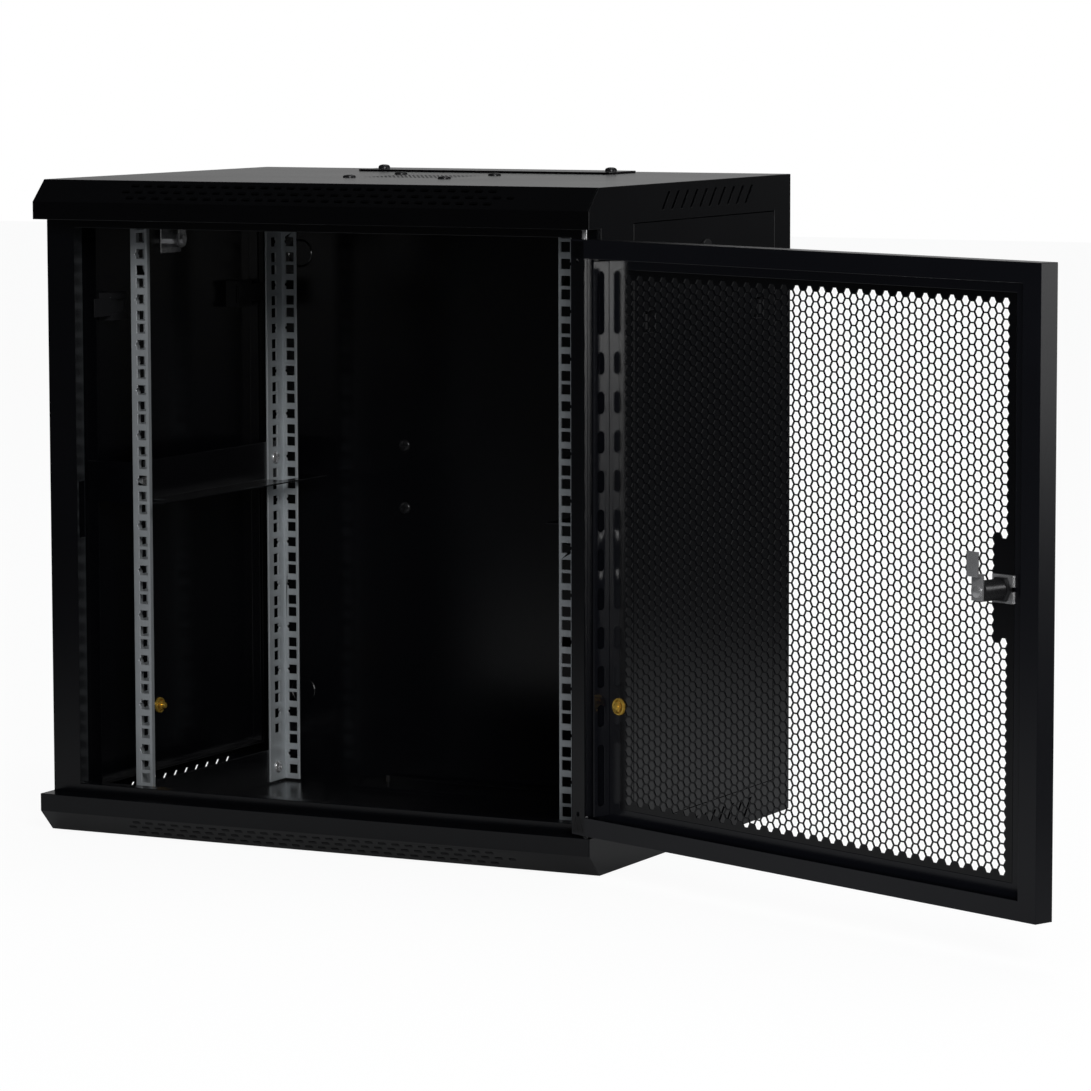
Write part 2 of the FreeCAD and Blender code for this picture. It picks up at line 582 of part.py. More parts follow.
# ---- removable side panels, their locks and latches ----

def panel_lock_height():
    return "(height - panel_lock_drop)"


def make_side_panel(label, side):
    """Folded panel in the side frame's window; its lower edge stands on the window's rim."""
    body = new_body(label)
    y = (f"{WINDOW_FRONT} + panel_gap", f"{WINDOW_REAR} - panel_gap")
    z = ("window_end + panel_seat", "height - window_end - panel_gap")
    plate(body, "YZ", outward(side, INNER_SIDE, "sheet"), "sheet", box(*y, *z))
    plate(body, "YZ", outward(side, f"{INNER_SIDE} - panel_rim", "panel_rim"), "panel_rim",
          box(*y, *z), box(f"{y[0]} + sheet", f"{y[1]} - sheet", f"{z[0]} + sheet", f"{z[1]} - sheet"))
    holes = [circle(WINDOW_MIDDLE, panel_lock_height(), "lock_radius + screw_hole_gap")]
    for middle in latch_middles():
        holes.append(box(f"{middle} - latch_window / 2", f"{middle} + latch_window / 2",
                         f"{LATCH_HEIGHT} - latch_window / 2", f"{LATCH_HEIGHT} + latch_window / 2"))
    cut(body, "YZ", outward(side, f"{INNER_SIDE} - sheet", "3 * sheet"), "3 * sheet", *holes)


def latch_middles():
    return f"({WINDOW_FRONT} + latch_inset)", f"({WINDOW_REAR} - latch_inset)"


def make_panel_lock(label, side):
    """Key lock of a side panel: head, barrel, clamping bracket, spindle and nut."""
    body = new_body(label)
    y, z = WINDOW_MIDDLE, panel_lock_height()
    shoulder = "(width / 2 - panel_lock_depth)"
    end = f"({shoulder} - lever_gauge - 2 * slide_gap - nut_height)"
    plate(body, "YZ", outward(side, "width / 2", "lock_head_height"), "lock_head_height",
          regular(y, z, "lock_head_radius", 16))
    plate(body, "YZ", outward(side, shoulder, "panel_lock_depth"), "panel_lock_depth",
          regular(y, z, "lock_radius", 12))
    plate(body, "YZ", outward(side, f"{INNER_SIDE} - sheet", "sheet"), "sheet",
          box(f"{y} - lock_bracket_half_width", f"{y} + lock_bracket_half_width",
              f"{z} - lock_bracket_half_height", f"{z} + lock_bracket_half_height"))
    spindle = f"{shoulder} - {end}"
    plate(body, "YZ", outward(side, end, spindle), spindle, circle(y, z, "spindle_radius"))
    plate(body, "YZ", outward(side, end, "nut_height"), "nut_height", regular(y, z, "nut_radius", 6))


def make_panel_lever(label, side):
    """Lever of the panel lock; pointing up it stands behind the window's upper rim."""
    body = new_body(label)
    y, z = WINDOW_MIDDLE, panel_lock_height()
    near = "width / 2 - panel_lock_depth - slide_gap - lever_gauge"
    plate(body, "YZ", outward(side, near, "lever_gauge"), "lever_gauge",
          box(f"{y} - lever_width / 2", f"{y} + lever_width / 2",
              f"{z} - lever_tail", f"{z} + panel_lever"))
    cut(body, "YZ", outward(side, f"{near} - lever_gauge", "3 * lever_gauge"), "3 * lever_gauge",
        screw_hole(y, z, "spindle_radius + slide_gap"))


def make_latch_housings(label, side):
    """Square finger wells behind the panel, each with two hooked guides for its bolt."""
    body = new_body(label, loose=True)
    half = "(latch_window / 2)"
    outer = f"({half} + latch_wall)"
    bolt_space = "(latch_bolt_gauge + 2 * slide_gap)"
    inner = f"({INNER_SIDE} - window_rim)"
    for middle in latch_middles():
        plate(body, "YZ", outward(side, inner, "window_rim"), "window_rim",
              box(f"{middle} - {outer}", f"{middle} + {outer}",
                  f"{LATCH_HEIGHT} - {outer}", f"{LATCH_HEIGHT} + {outer}"),
              box(f"{middle} - {half}", f"{middle} + {half}",
                  f"{LATCH_HEIGHT} - {half}", f"{LATCH_HEIGHT} + {half}"))
        guides = []
        for sense in (-1, 1):
            def at(x, z):
                return mirrored(side, f"{inner} - ({x})"), f"{LATCH_HEIGHT} + {sense} * ({z})"
            edge = "latch_bolt_half + slide_gap"
            guides.append(polygon(
                at("0", outer), at("0", edge), at(bolt_space, edge), at(bolt_space, f"{edge} - latch_guide"),
                at(f"{bolt_space} + sheet", f"{edge} - latch_guide"), at(f"{bolt_space} + sheet", outer)))
        plate(body, "XZ", f"{middle} - {outer}", f"2 * {outer}", *guides)


def make_latch(label, side, middle, end):
    """Sliding bolt with a finger hole and a tab; end is -1 for the front latch and 1 for the rear one."""
    body = new_body(label)
    window = WINDOW_FRONT if end < 0 else WINDOW_REAR
    tip = f"{window} + {end} * (sheet + latch_overlap)"
    tail = f"{middle} - {end} * latch_tail"
    near, far = (tip, tail) if end < 0 else (tail, tip)
    tab = f"{middle} + {end} * (latch_window / 2 - latch_tab / 2 - sheet)"
    rim_edge, tab_edge = f"{tail} + {end} * latch_bolt_rim", f"{tab} - {end} * latch_tab"
    hole = (tab_edge, rim_edge) if end < 0 else (rim_edge, tab_edge)
    half = "(latch_bolt_half - latch_bolt_rim)"
    inner = f"{INNER_SIDE} - window_rim - slide_gap - latch_bolt_gauge"
    plate(body, "YZ", outward(side, inner, "latch_bolt_gauge"), "latch_bolt_gauge",
          box(near, far, f"{LATCH_HEIGHT} - latch_bolt_half", f"{LATCH_HEIGHT} + latch_bolt_half"),
          box(*hole, f"{LATCH_HEIGHT} - {half}", f"{LATCH_HEIGHT} + {half}"))
    tall = "(latch_bolt_gauge + window_rim)"
    plate(body, "YZ", outward(side, inner, tall), tall,
          box(f"{tab} - latch_tab / 2", f"{tab} + latch_tab / 2",
              f"{LATCH_HEIGHT} - latch_tab_height / 2", f"{LATCH_HEIGHT} + latch_tab_height / 2"))


# ---- door, drawn closed and then turned about its hinge pins ----

HINGE_EDGE = "(width / 2 - door_side_gap)"
LOCK_X = f"(-{HINGE_EDGE} + door_lock_inset)"
DOOR_INNER = f"({DOOR_FRONT} + door_thickness)"
SKIN = f"({DOOR_FRONT} + sheet)"
OPEN_DOOR = (f"placement(vector(0; 0; 0); rotation(vector(0; 0; 1); door_open_angle);"
             f" vector({HINGE_X}; {HINGE_Y}; 0))")


def door_body(label):
    body = new_body(label)
    body.setExpression("Placement", bound(OPEN_DOOR))
    return body


def mesh_frame(inset):
    return box(f"-{HINGE_EDGE} + mesh_border_x + {inset}", f"{HINGE_EDGE} - mesh_border_x - {inset}",
               f"{DOOR_FOOT} + mesh_border_z + {inset}", f"{DOOR_TOP} - mesh_border_z - {inset}")


def make_door_pan():
    """Folded tray with its front open for the perforated infill and lips on three of its edges."""
    body = door_body("door_pan")
    plate(body, "XZ", DOOR_FRONT, "door_thickness", box(f"-{HINGE_EDGE}", HINGE_EDGE, DOOR_FOOT, DOOR_TOP))
    cut(body, "XZ", SKIN, "door_thickness - 2 * sheet",
        box(f"-{HINGE_EDGE} + sheet", f"{HINGE_EDGE} - sheet", f"{DOOR_FOOT} + sheet", f"{DOOR_TOP} - sheet"))
    cut(body, "XZ", f"{DOOR_INNER} - sheet", "2 * sheet",
        box(f"-{HINGE_EDGE} + door_lock_lip", f"{HINGE_EDGE} - sheet",
            f"{DOOR_FOOT} + door_lip", f"{DOOR_TOP} - door_lip"))
    cut(body, "XZ", f"{DOOR_FRONT} - sheet", "3 * sheet", mesh_frame("0"))
    cut(body, "XY", f"{DOOR_FOOT} - sheet", f"{DOOR_TALL} + 2 * sheet",
        screw_hole(HINGE_X, HINGE_Y, "pin_radius + screw_hole_gap"))


def make_door_mesh():
    """Perforated infill: staggered columns of flat topped hexagons, with a hole for the lock in its margin."""
    body = door_body("door_mesh")
    plate(body, "XZ", DOOR_FRONT, "sheet", mesh_frame("0"))
    step = "(cell_pitch * sin(60))"
    pairs = f"floor(({HINGE_EDGE} - mesh_border_x - cell_margin) / {step})"
    rows = f"floor(({DOOR_TALL} - 2 * mesh_border_z - 2 * cell_margin) / cell_pitch - 1 / 2)"
    x = f"-{step} * ({pairs} - 1 / 2)"
    z = f"{DOOR_MIDDLE} - cell_pitch * ({rows} - 1 / 2) / 2"
    cells = []
    for column in (0, 1):
        corners = []
        for turn in range(6):
            a = f"{x} + {column} * {step} + cell_width / sqrt(3) * cos({60 * turn})"
            b = f"{z} + {column} * cell_pitch / 2 + cell_width / sqrt(3) * sin({60 * turn})"
            corners.append((a, b))
        cells.append(polygon(*corners))
    cell = cut(body, "XZ", f"{DOOR_FRONT} - sheet", "3 * sheet", *cells)
    repeat(body, cell, ("X", f"2 * {step}", pairs), ("Z", "cell_pitch", rows))
    cut(body, "XZ", f"{DOOR_FRONT} - sheet", "3 * sheet",
        circle(LOCK_X, DOOR_MIDDLE, "lock_radius + screw_hole_gap"))


def make_door_stiffener():
    """Slotted angle that stands on the skin beside the hinge edge, flush with the lips."""
    body = door_body("door_stiffener")
    wall = f"({HINGE_EDGE} - stiffener_inset)"
    low = f"{DOOR_FOOT} + door_lip + stiffener_gap"
    tall = f"{DOOR_TALL} - 2 * (door_lip + stiffener_gap)"
    plate(body, "XY", low, tall, polygon(
        (wall, SKIN), (wall, DOOR_INNER), (f"{wall} + sheet", DOOR_INNER),
        (f"{wall} + sheet", f"{SKIN} + sheet"), (f"{wall} + stiffener_foot", f"{SKIN} + sheet"),
        (f"{wall} + stiffener_foot", SKIN)))
    across = f"({SKIN} + {DOOR_INNER} + sheet) / 2"
    cut(body, "YZ", f"{wall} - sheet", "3 * sheet",
        slot(across, f"{DOOR_MIDDLE} - long_slot_offset", "long_slot_length", "slot_width"),
        slot(across, f"{DOOR_MIDDLE} + long_slot_offset", "long_slot_length", "slot_width"))
    first = f"{DOOR_MIDDLE} - slot_pitch * (slot_count - 1) / 2"
    short = cut(body, "YZ", f"{wall} - sheet", "3 * sheet", slot(across, first, "slot_length", "slot_width"))
    repeat(body, short, ("Z", "slot_pitch", "slot_count"))


def make_door_lock():
    """Key lock of the door: head outside, square clamping plate inside, spindle and nut for the lever."""
    body = door_body("door_lock")
    shoulder = f"({DOOR_INNER} + door_lock_reach)"
    end = f"({shoulder} + lever_gauge + 2 * slide_gap + nut_height)"
    at = (LOCK_X, DOOR_MIDDLE)
    plate(body, "XZ", f"{DOOR_FRONT} - lock_head_height", "lock_head_height",
          regular(*at, "lock_head_radius", 16))
    plate(body, "XZ", DOOR_FRONT, f"{shoulder} - {DOOR_FRONT}", regular(*at, "lock_radius", 12))
    plate(body, "XZ", SKIN, "lock_plate_gauge",
          box(f"{LOCK_X} - lock_plate_half", f"{LOCK_X} + lock_plate_half",
              f"{DOOR_MIDDLE} - lock_plate_half", f"{DOOR_MIDDLE} + lock_plate_half"))
    plate(body, "XZ", shoulder, f"{end} - {shoulder}", circle(*at, "spindle_radius"))
    plate(body, "XZ", f"{end} - nut_height", "nut_height", regular(*at, "nut_radius", 6))


def make_door_lever():
    """Stepped lever of the door lock, upright while the door is open; its tip turns in behind the upright."""
    body = door_body("door_lever")
    near = f"{DOOR_INNER} + door_lock_reach + slide_gap"
    bend = f"{DOOR_MIDDLE} + lever_bend"
    plate(body, "XZ", near, "lever_gauge", box(
        f"{LOCK_X} - lever_width / 2", f"{LOCK_X} + lever_width / 2", f"{DOOR_MIDDLE} - lever_tail", bend))
    plate(body, "XZ", near, "lever_step + lever_gauge", box(
        f"{LOCK_X} - lever_width / 2", f"{LOCK_X} + lever_width / 2", bend, f"{bend} + lever_gauge"))
    plate(body, "XZ", f"{near} + lever_step", "lever_gauge", box(
        f"{LOCK_X} - lever_width / 2", f"{LOCK_X} + lever_width / 2", bend, f"{DOOR_MIDDLE} + door_lever"))
    cut(body, "XZ", f"{near} - lever_gauge", "3 * lever_gauge",
        screw_hole(LOCK_X, DOOR_MIDDLE, "spindle_radius + slide_gap"))


def make_hinge_pin(label, edge, reach, sense):
    """Pin through an end flange of the door into the lip beside it, with a collar inside the door."""
    body = door_body(label)
    inner = f"{edge} - {sense} * pin_inside"
    outer = f"{edge} + {sense} * ({reach})"
    low, high = (inner, outer) if sense > 0 else (outer, inner)
    plate(body, "XY", low, f"{high} - ({low})", circle(HINGE_X, HINGE_Y, "pin_radius"))
    collar = f"{edge} - sheet - collar_height" if sense > 0 else f"{edge} + sheet"
    plate(body, "XY", collar, "collar_height", regular(HINGE_X, HINGE_Y, "collar_radius", 8))


def make_door_stud():
    body = door_body("door_earth_stud")
    at = (f"{HINGE_EDGE} - door_stud_inset", f"{DOOR_FOOT} + door_stud_height")
    plate(body, "XZ", SKIN, "stud_height", regular(*at, "stud_radius", 12))
    plate(body, "XZ", SKIN, "stud_core_height", regular(*at, "stud_core", 6))


def make_panel_studs():
    body = new_body("panel_earth_studs", loose=True)
    for side in (-1, 1):
        for radius, corners, tall in (("stud_radius", 12, "stud_height"), ("stud_core", 6, "stud_core_height")):
            plate(body, "YZ", outward(side, f"{INNER_SIDE} - {tall}", tall), tall,
                  regular("panel_stud_y", "panel_stud_height", radius, corners))


# ---- screws ----

def make_screws():
    upward = "vector(1; 0; 0); 0"
    downward = "vector(1; 0; 0); 180"
    forward = "vector(1; 0; 0); 90"
    bracket = [(f"{x} * bracket_screw_x; {BACK_FACE} - sheet; height / 2 + {z} * bracket_screw_z", forward,
                "sheet + bracket_gauge + bracket_screw_end") for x in (-1, 1) for z in (-1, 1)]
    screws("wall_bracket_screws", "small_screw", "small_head", "small_head_height", bracket)
    fan = [(f"{x} * fan_hole_spacing / 2; fan_centre + {y} * fan_hole_spacing / 2; height", upward,
            "sheet + fan_height + screw_end") for x in (-1, 1) for y in (-1, 1)]
    screws("fan_screws", "small_screw", "small_head", "small_head_height", fan)
    cable = [(f"{x} * cable_screw_spacing / 2; {CABLE_Y}; height + cable_cover_gauge", upward,
              "cable_cover_gauge + sheet + screw_end") for x in (-1, 1)]
    screws("roof_cover_screws", "knob_screw", "knob_head", "knob_head_height", cable)
    floor = [(f"{x} * cable_screw_spacing / 2; {CABLE_Y}; recess_depth - cable_cover_gauge", downward,
              "cable_cover_gauge + sheet + floor_screw_end") for x in (-1, 1)]
    screws("floor_cover_screws", "knob_screw", "knob_head", "low_head_height", floor)
    rail = []
    for side in (-1, 1):
        for y in (f"{FRONT_RAIL} + rail_side_hole", f"{REAR_RAIL} + rail_gauge - rail_side_hole"):
            for z in ("brace_screw_height", "height / 2 + rack_unit / 2", "height - brace_screw_height"):
                seat = f"{side} * ({RAIL_OUTER} - rail_gauge); {y}; {z}"
                rail.append((seat, f"vector(0; 1; 0); {-90 * side}", "rail_gauge + brace_gauge + screw_end"))
    screws("rail_screws", "small_screw", "small_head", "small_head_height", rail)


# ---- assembly ----

make_top_cover()
make_bottom_cover()
make_back_panel()
make_wall_bracket()
make_frame_bar("front_frame_top", lambda depth: f"height - ({depth})")
make_frame_bar("front_frame_bottom", lambda depth: depth)
for name, side in (("left", -1), ("right", 1)):
    make_side_frame(f"{name}_side_frame", side)
    make_upright(f"front_frame_{name}", side)
    make_rail(f"{name}_front_rail", side, FRONT_RAIL, 1)
    make_rail(f"{name}_rear_rail", side, REAR_RAIL, -1)
    make_end_brace(f"{name}_bottom_brace", side, lambda depth: depth)
    make_middle_brace(f"{name}_middle_brace", side)
    make_end_brace(f"{name}_top_brace", side, lambda depth: f"height - ({depth})")
    make_side_panel(f"{name}_side_panel", side)
    make_panel_lock(f"{name}_panel_lock", side)
    make_panel_lever(f"{name}_panel_lever", side)
    make_latch_housings(f"{name}_latch_housings", side)
    front_middle, rear_middle = latch_middles()
    make_latch(f"{name}_front_latch", side, front_middle, -1)
    make_latch(f"{name}_rear_latch", side, rear_middle, 1)
make_cable_cover("roof_cable_cover", "height")
make_cable_cover("floor_cable_cover", "recess_depth - cable_cover_gauge")
make_fan_frame()
make_fan_rotor()
make_panel_studs()
make_screws()
make_door_pan()
make_door_mesh()
make_door_stiffener()
make_door_lock()
make_door_lever()
make_hinge_pin("door_top_pin", DOOR_TOP, "height - lip + pin_reach - " + DOOR_TOP, 1)
make_hinge_pin("door_bottom_pin", DOOR_FOOT, "door_foot_gap + pin_reach", -1)
make_door_stud()

doc.recompute()
for item in doc.Objects:
    if {"Invalid", "Error"} & set(item.State):
        raise RuntimeError(f"{item.Label} ({item.Name}) failed: {item.State}")
for label, item in SUBPARTS.items():
    if item.Shape.isNull() or not item.Shape.isValid():
        raise RuntimeError(f"{label} has no valid shape")
os.makedirs("parts", exist_ok=True)
for label, item in SUBPARTS.items():
    item.Shape.exportStep(f"parts/{label}.step")
print(len(SUBPARTS), "sub-parts written")
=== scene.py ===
"""Wall mount network cabinet with its perforated door open: finishes, fine pieces, light and camera."""
import json
import math

import bmesh
import bpy
from mathutils import Matrix, Vector


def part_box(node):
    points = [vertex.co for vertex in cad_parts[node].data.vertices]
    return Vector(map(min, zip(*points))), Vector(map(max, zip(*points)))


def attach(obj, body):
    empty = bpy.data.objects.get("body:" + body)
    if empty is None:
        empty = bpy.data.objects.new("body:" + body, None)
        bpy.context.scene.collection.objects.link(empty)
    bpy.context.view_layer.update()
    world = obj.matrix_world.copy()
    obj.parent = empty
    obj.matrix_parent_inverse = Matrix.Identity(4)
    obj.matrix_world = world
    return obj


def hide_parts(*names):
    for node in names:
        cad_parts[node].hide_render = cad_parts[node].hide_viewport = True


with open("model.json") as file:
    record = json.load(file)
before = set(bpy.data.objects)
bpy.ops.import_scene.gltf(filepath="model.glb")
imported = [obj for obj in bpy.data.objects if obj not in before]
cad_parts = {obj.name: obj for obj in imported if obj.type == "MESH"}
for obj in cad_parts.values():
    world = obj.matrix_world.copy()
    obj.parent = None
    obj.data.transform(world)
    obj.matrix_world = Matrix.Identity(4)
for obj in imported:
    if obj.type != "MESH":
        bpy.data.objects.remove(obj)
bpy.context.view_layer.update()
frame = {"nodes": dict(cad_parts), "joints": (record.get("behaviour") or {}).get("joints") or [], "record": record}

MM = 0.001
NODES = frame["nodes"]
JOINTS = {joint["name"]: joint for joint in frame["joints"]}

# ---- places read from the frame ----

HINGE_PLACE = Vector(JOINTS["door_hinge"]["pos_m"])
CLOSED_ANGLE = math.radians(JOINTS["door_hinge"]["range_deg"][0])


def turned_about_hinge(angle):
    """A turn about the line of the door's two pins."""
    return Matrix.Translation(HINGE_PLACE) @ Matrix.Rotation(angle, 4, "Z") @ Matrix.Translation(-HINGE_PLACE)


DOOR_CLOSES = turned_about_hinge(CLOSED_ANGLE)
DOOR_OPENS = turned_about_hinge(-CLOSED_ANGLE)


def closed_box(node):
    """Lowest and highest corner of one of the door's nodes with the door shut."""
    corners = [DOOR_CLOSES @ vertex.co for vertex in NODES[node].data.vertices]
    low = Vector(min(corner[axis] for corner in corners) for axis in range(3))
    high = Vector(max(corner[axis] for corner in corners) for axis in range(3))
    return low, high


# ---- node building for the finishes ----

class Finish:
    """A material with one Principled shader and short calls for the nodes that feed it."""

    def __init__(self, name, **plain):
        self.material = bpy.data.materials.new(name)
        self.material.use_nodes = True
        self.nodes = self.material.node_tree.nodes
        self.links = self.material.node_tree.links
        self.shader = self.nodes["Principled BSDF"]
        for socket, value in plain.items():
            self.shader.inputs[socket.replace("_", " ")].default_value = value
        self.coordinates = self.nodes.new("ShaderNodeTexCoord").outputs["Object"]

    def group(self, tree, **values):
        node = self.nodes.new("ShaderNodeGroup")
        node.node_tree = tree
        self.links.new(self.coordinates, node.inputs["Place"])
        for socket, value in values.items():
            node.inputs[socket.replace("_", " ")].default_value = value
        return node

    def feed(self, output, socket):
        self.links.new(output, self.shader.inputs[socket])


def new_group(name, inputs, outputs):
    """An empty node group with its sockets: pairs of name and socket kind."""
    tree = bpy.data.node_groups.new(name, "ShaderNodeTree")
    for label, kind in inputs:
        tree.interface.new_socket(label, in_out="INPUT", socket_type="NodeSocket" + kind)
    for label, kind in outputs:
        tree.interface.new_socket(label, in_out="OUTPUT", socket_type="NodeSocket" + kind)
    return tree, tree.nodes.new("NodeGroupInput"), tree.nodes.new("NodeGroupOutput")


def math_node(tree, operation, first, second):
    node = tree.nodes.new("ShaderNodeMath")
    node.operation = operation
    for socket, value in zip(node.inputs, (first, second)):
        if hasattr(value, "links"):
            tree.links.new(value, socket)
        else:
            socket.default_value = value
    return node.outputs[0]


def noise(tree, place, scale, detail=2.0, stretch=(1, 1, 1)):
    """Noise of that scale, stretched along the axes; the scale is a number or a socket."""
    mapping = tree.nodes.new("ShaderNodeMapping")
    mapping.inputs["Scale"].default_value = stretch
    tree.links.new(place, mapping.inputs["Vector"])
    texture = tree.nodes.new("ShaderNodeTexNoise")
    texture.inputs["Detail"].default_value = detail
    tree.links.new(mapping.outputs[0], texture.inputs["Vector"])
    if hasattr(scale, "links"):
        tree.links.new(scale, texture.inputs["Scale"])
    else:
        texture.inputs["Scale"].default_value = scale
    return texture.outputs["Fac"]


def blend_colours(tree, factor, first, second):
    mix = tree.nodes.new("ShaderNodeMix")
    mix.data_type = "RGBA"
    tree.links.new(factor, mix.inputs["Factor"])
    for socket, value in ((mix.inputs["A"], first), (mix.inputs["B"], second)):
        if hasattr(value, "links"):
            tree.links.new(value, socket)
        else:
            socket.default_value = value
    return mix.outputs["Result"]


def close_group(tree, start, end, colours, tone, rough_mask, relief, depth, height):
    """Wires a finish group's colour, roughness and relief; colours and depth are names of its inputs."""
    colour = blend_colours(tree, tone, *(start.outputs[name] for name in colours))
    spread = math_node(tree, "SUBTRACT", start.outputs["Rough High"], start.outputs["Rough Low"])
    added = math_node(tree, "MULTIPLY", spread, rough_mask)
    rough = math_node(tree, "ADD", start.outputs["Rough Low"], added)
    bump = tree.nodes.new("ShaderNodeBump")
    bump.inputs["Distance"].default_value = height
    tree.links.new(start.outputs[depth], bump.inputs["Strength"])
    tree.links.new(relief, bump.inputs["Height"])
    tree.links.new(colour, end.inputs["Color"])
    tree.links.new(rough, end.inputs["Roughness"])
    tree.links.new(bump.outputs[0], end.inputs["Normal"])
    return tree


def mixed_masks(tree, first, second, first_share):
    """Two masks added in shares that make one."""
    return math_node(tree, "ADD", math_node(tree, "MULTIPLY", first, first_share),
                     math_node(tree, "MULTIPLY", second, 1.0 - first_share))


COAT_CLOUD_SCALE, COAT_SPECK_SCALE = 9.0, 2600.0
COAT_CLOUD_SHARE = 0.7
PEEL_HEIGHT = 0.02 * MM


def powder_coat_group():
    """Orange peel relief and slow cloudiness of a baked coat."""
    tree, start, end = new_group(
        "powder_coat",
        [("Place", "Vector"), ("Dark", "Color"), ("Light", "Color"), ("Peel Scale", "Float"),
         ("Peel Depth", "Float"), ("Rough Low", "Float"), ("Rough High", "Float")],
        [("Color", "Color"), ("Roughness", "Float"), ("Normal", "Vector")])
    place = start.outputs["Place"]
    cloud = noise(tree, place, COAT_CLOUD_SCALE, 3.0)
    speck = noise(tree, place, COAT_SPECK_SCALE, 1.0)
    peel = noise(tree, place, start.outputs["Peel Scale"], 2.0)
    tone = mixed_masks(tree, cloud, speck, COAT_CLOUD_SHARE)
    return close_group(tree, start, end, ("Dark", "Light"), tone, tone, peel, "Peel Depth", PEEL_HEIGHT)


PLATE_CLOUD_SCALE, PLATE_LINE_SCALE = 45.0, 900.0
PLATE_LINE_STRETCH = (1, 1, 0.02)
PLATE_CLOUD_SHARE = 0.6
LINE_HEIGHT = 0.01 * MM


def plated_group():
    """Cloudy plating with fine drawn lines along the piece."""
    tree, start, end = new_group(
        "plated_metal",
        [("Place", "Vector"), ("Dull", "Color"), ("Bright", "Color"), ("Line Depth", "Float"),
         ("Rough Low", "Float"), ("Rough High", "Float")],
        [("Color", "Color"), ("Roughness", "Float"), ("Normal", "Vector")])
    place = start.outputs["Place"]
    cloud = noise(tree, place, PLATE_CLOUD_SCALE, 4.0)
    lines = noise(tree, place, PLATE_LINE_SCALE, 2.0, stretch=PLATE_LINE_STRETCH)
    tone = mixed_masks(tree, cloud, lines, PLATE_CLOUD_SHARE)
    return close_group(tree, start, end, ("Dull", "Bright"), tone, cloud, lines, "Line Depth", LINE_HEIGHT)


POWDER_COAT = powder_coat_group()
PLATED_METAL = plated_group()


def dress(finish, group):
    finish.feed(group.outputs["Color"], "Base Color")
    finish.feed(group.outputs["Roughness"], "Roughness")
    finish.feed(group.outputs["Normal"], "Normal")
    return finish.material


def black_paint():
    finish = Finish("black_powder_coat", Specular_IOR_Level=0.4)
    return dress(finish, finish.group(
        POWDER_COAT, Dark=(0.0010, 0.0011, 0.0017, 1), Light=(0.0022, 0.0024, 0.0034, 1),
        Peel_Scale=700.0, Peel_Depth=0.3, Rough_Low=0.17, Rough_High=0.24))


def rail_zinc():
    finish = Finish("zinc_plated_rail", Metallic=0.5)
    return dress(finish, finish.group(
        PLATED_METAL, Dull=(0.40, 0.43, 0.45, 1), Bright=(0.60, 0.63, 0.65, 1),
        Line_Depth=0.25, Rough_Low=0.34, Rough_High=0.5))


def black_plastic():
    finish = Finish("moulded_black_plastic", Specular_IOR_Level=0.45)
    return dress(finish, finish.group(
        POWDER_COAT, Dark=(0.008, 0.008, 0.009, 1), Light=(0.014, 0.014, 0.016, 1),
        Peel_Scale=1500.0, Peel_Depth=0.6, Rough_Low=0.42, Rough_High=0.58))


def bright_nickel():
    finish = Finish("bright_nickel_plate", Metallic=0.75)
    return dress(finish, finish.group(
        PLATED_METAL, Dull=(0.55, 0.55, 0.56, 1), Bright=(0.78, 0.78, 0.79, 1),
        Line_Depth=0.1, Rough_Low=0.12, Rough_High=0.26))


def black_screw():
    finish = Finish("black_oxide_screw", Metallic=0.35, Specular_IOR_Level=0.5)
    return dress(finish, finish.group(
        PLATED_METAL, Dull=(0.010, 0.010, 0.011, 1), Bright=(0.024, 0.024, 0.026, 1),
        Line_Depth=0.1, Rough_Low=0.22, Rough_High=0.36))


def brass():
    finish = Finish("yellow_brass", Metallic=0.7)
    return dress(finish, finish.group(
        PLATED_METAL, Dull=(0.62, 0.38, 0.05, 1), Bright=(0.86, 0.58, 0.12, 1),
        Line_Depth=0.2, Rough_Low=0.18, Rough_High=0.34))


FINISHES = {
    "black_paint": black_paint(), "rail_zinc": rail_zinc(), "black_plastic": black_plastic(),
    "bright_nickel": bright_nickel(), "black_screw": black_screw(), "brass": brass(),
}
FOLD_WIDTH = 0.45 * MM
FOLD_LENGTH = 16 * MM
FOLD_ANGLE = math.radians(25)
SHARP_ANGLE = math.radians(40)
FLAT_ANGLE = math.radians(0.5)
SAME_POINT = 0.005 * MM
SLOT_OF = {part["node"]: part["material_slot"] for part in frame["record"]["subparts"]}


def soften_edges(piece, width, segments=2, marked=False):
    """Rounds a piece's marked edges, or all its sharp ones, a little, so that folds catch the light."""
    if not marked:
        weld = piece.modifiers.new("weld", "WELD")
        weld.merge_threshold = SAME_POINT
        flat = piece.modifiers.new("flat_faces", "DECIMATE")
        flat.decimate_type, flat.angle_limit = "DISSOLVE", FLAT_ANGLE
    bevel = piece.modifiers.new("soften", "BEVEL")
    bevel.width, bevel.segments = width, segments
    bevel.limit_method, bevel.angle_limit = ("WEIGHT" if marked else "ANGLE"), SHARP_ANGLE
    bevel.use_clamp_overlap = False


def mark_folds(made):
    """Marks a mesh's long sharp edges, which are its folds, and none round its holes."""
    bm = bmesh.new()
    bm.from_mesh(made)
    weight = bm.edges.layers.float.new("bevel_weight_edge")
    for edge in bm.edges:
        if edge.is_manifold and edge.calc_length() > FOLD_LENGTH and edge.calc_face_angle() > FOLD_ANGLE:
            edge[weight] = 1.0
    bm.to_mesh(made)
    bm.free()
    return made


def paint_nodes():
    """Gives every carried over solid the finish of its slot, and sheet metal its soft folds."""
    for name, piece in NODES.items():
        piece.data.materials.clear()
        piece.data.materials.append(FINISHES[SLOT_OF[name]])
        if SLOT_OF[name] == "black_paint":
            soften_edges(piece, FOLD_WIDTH)


# ---- pieces ----

SMOOTH_ANGLE = math.radians(35)


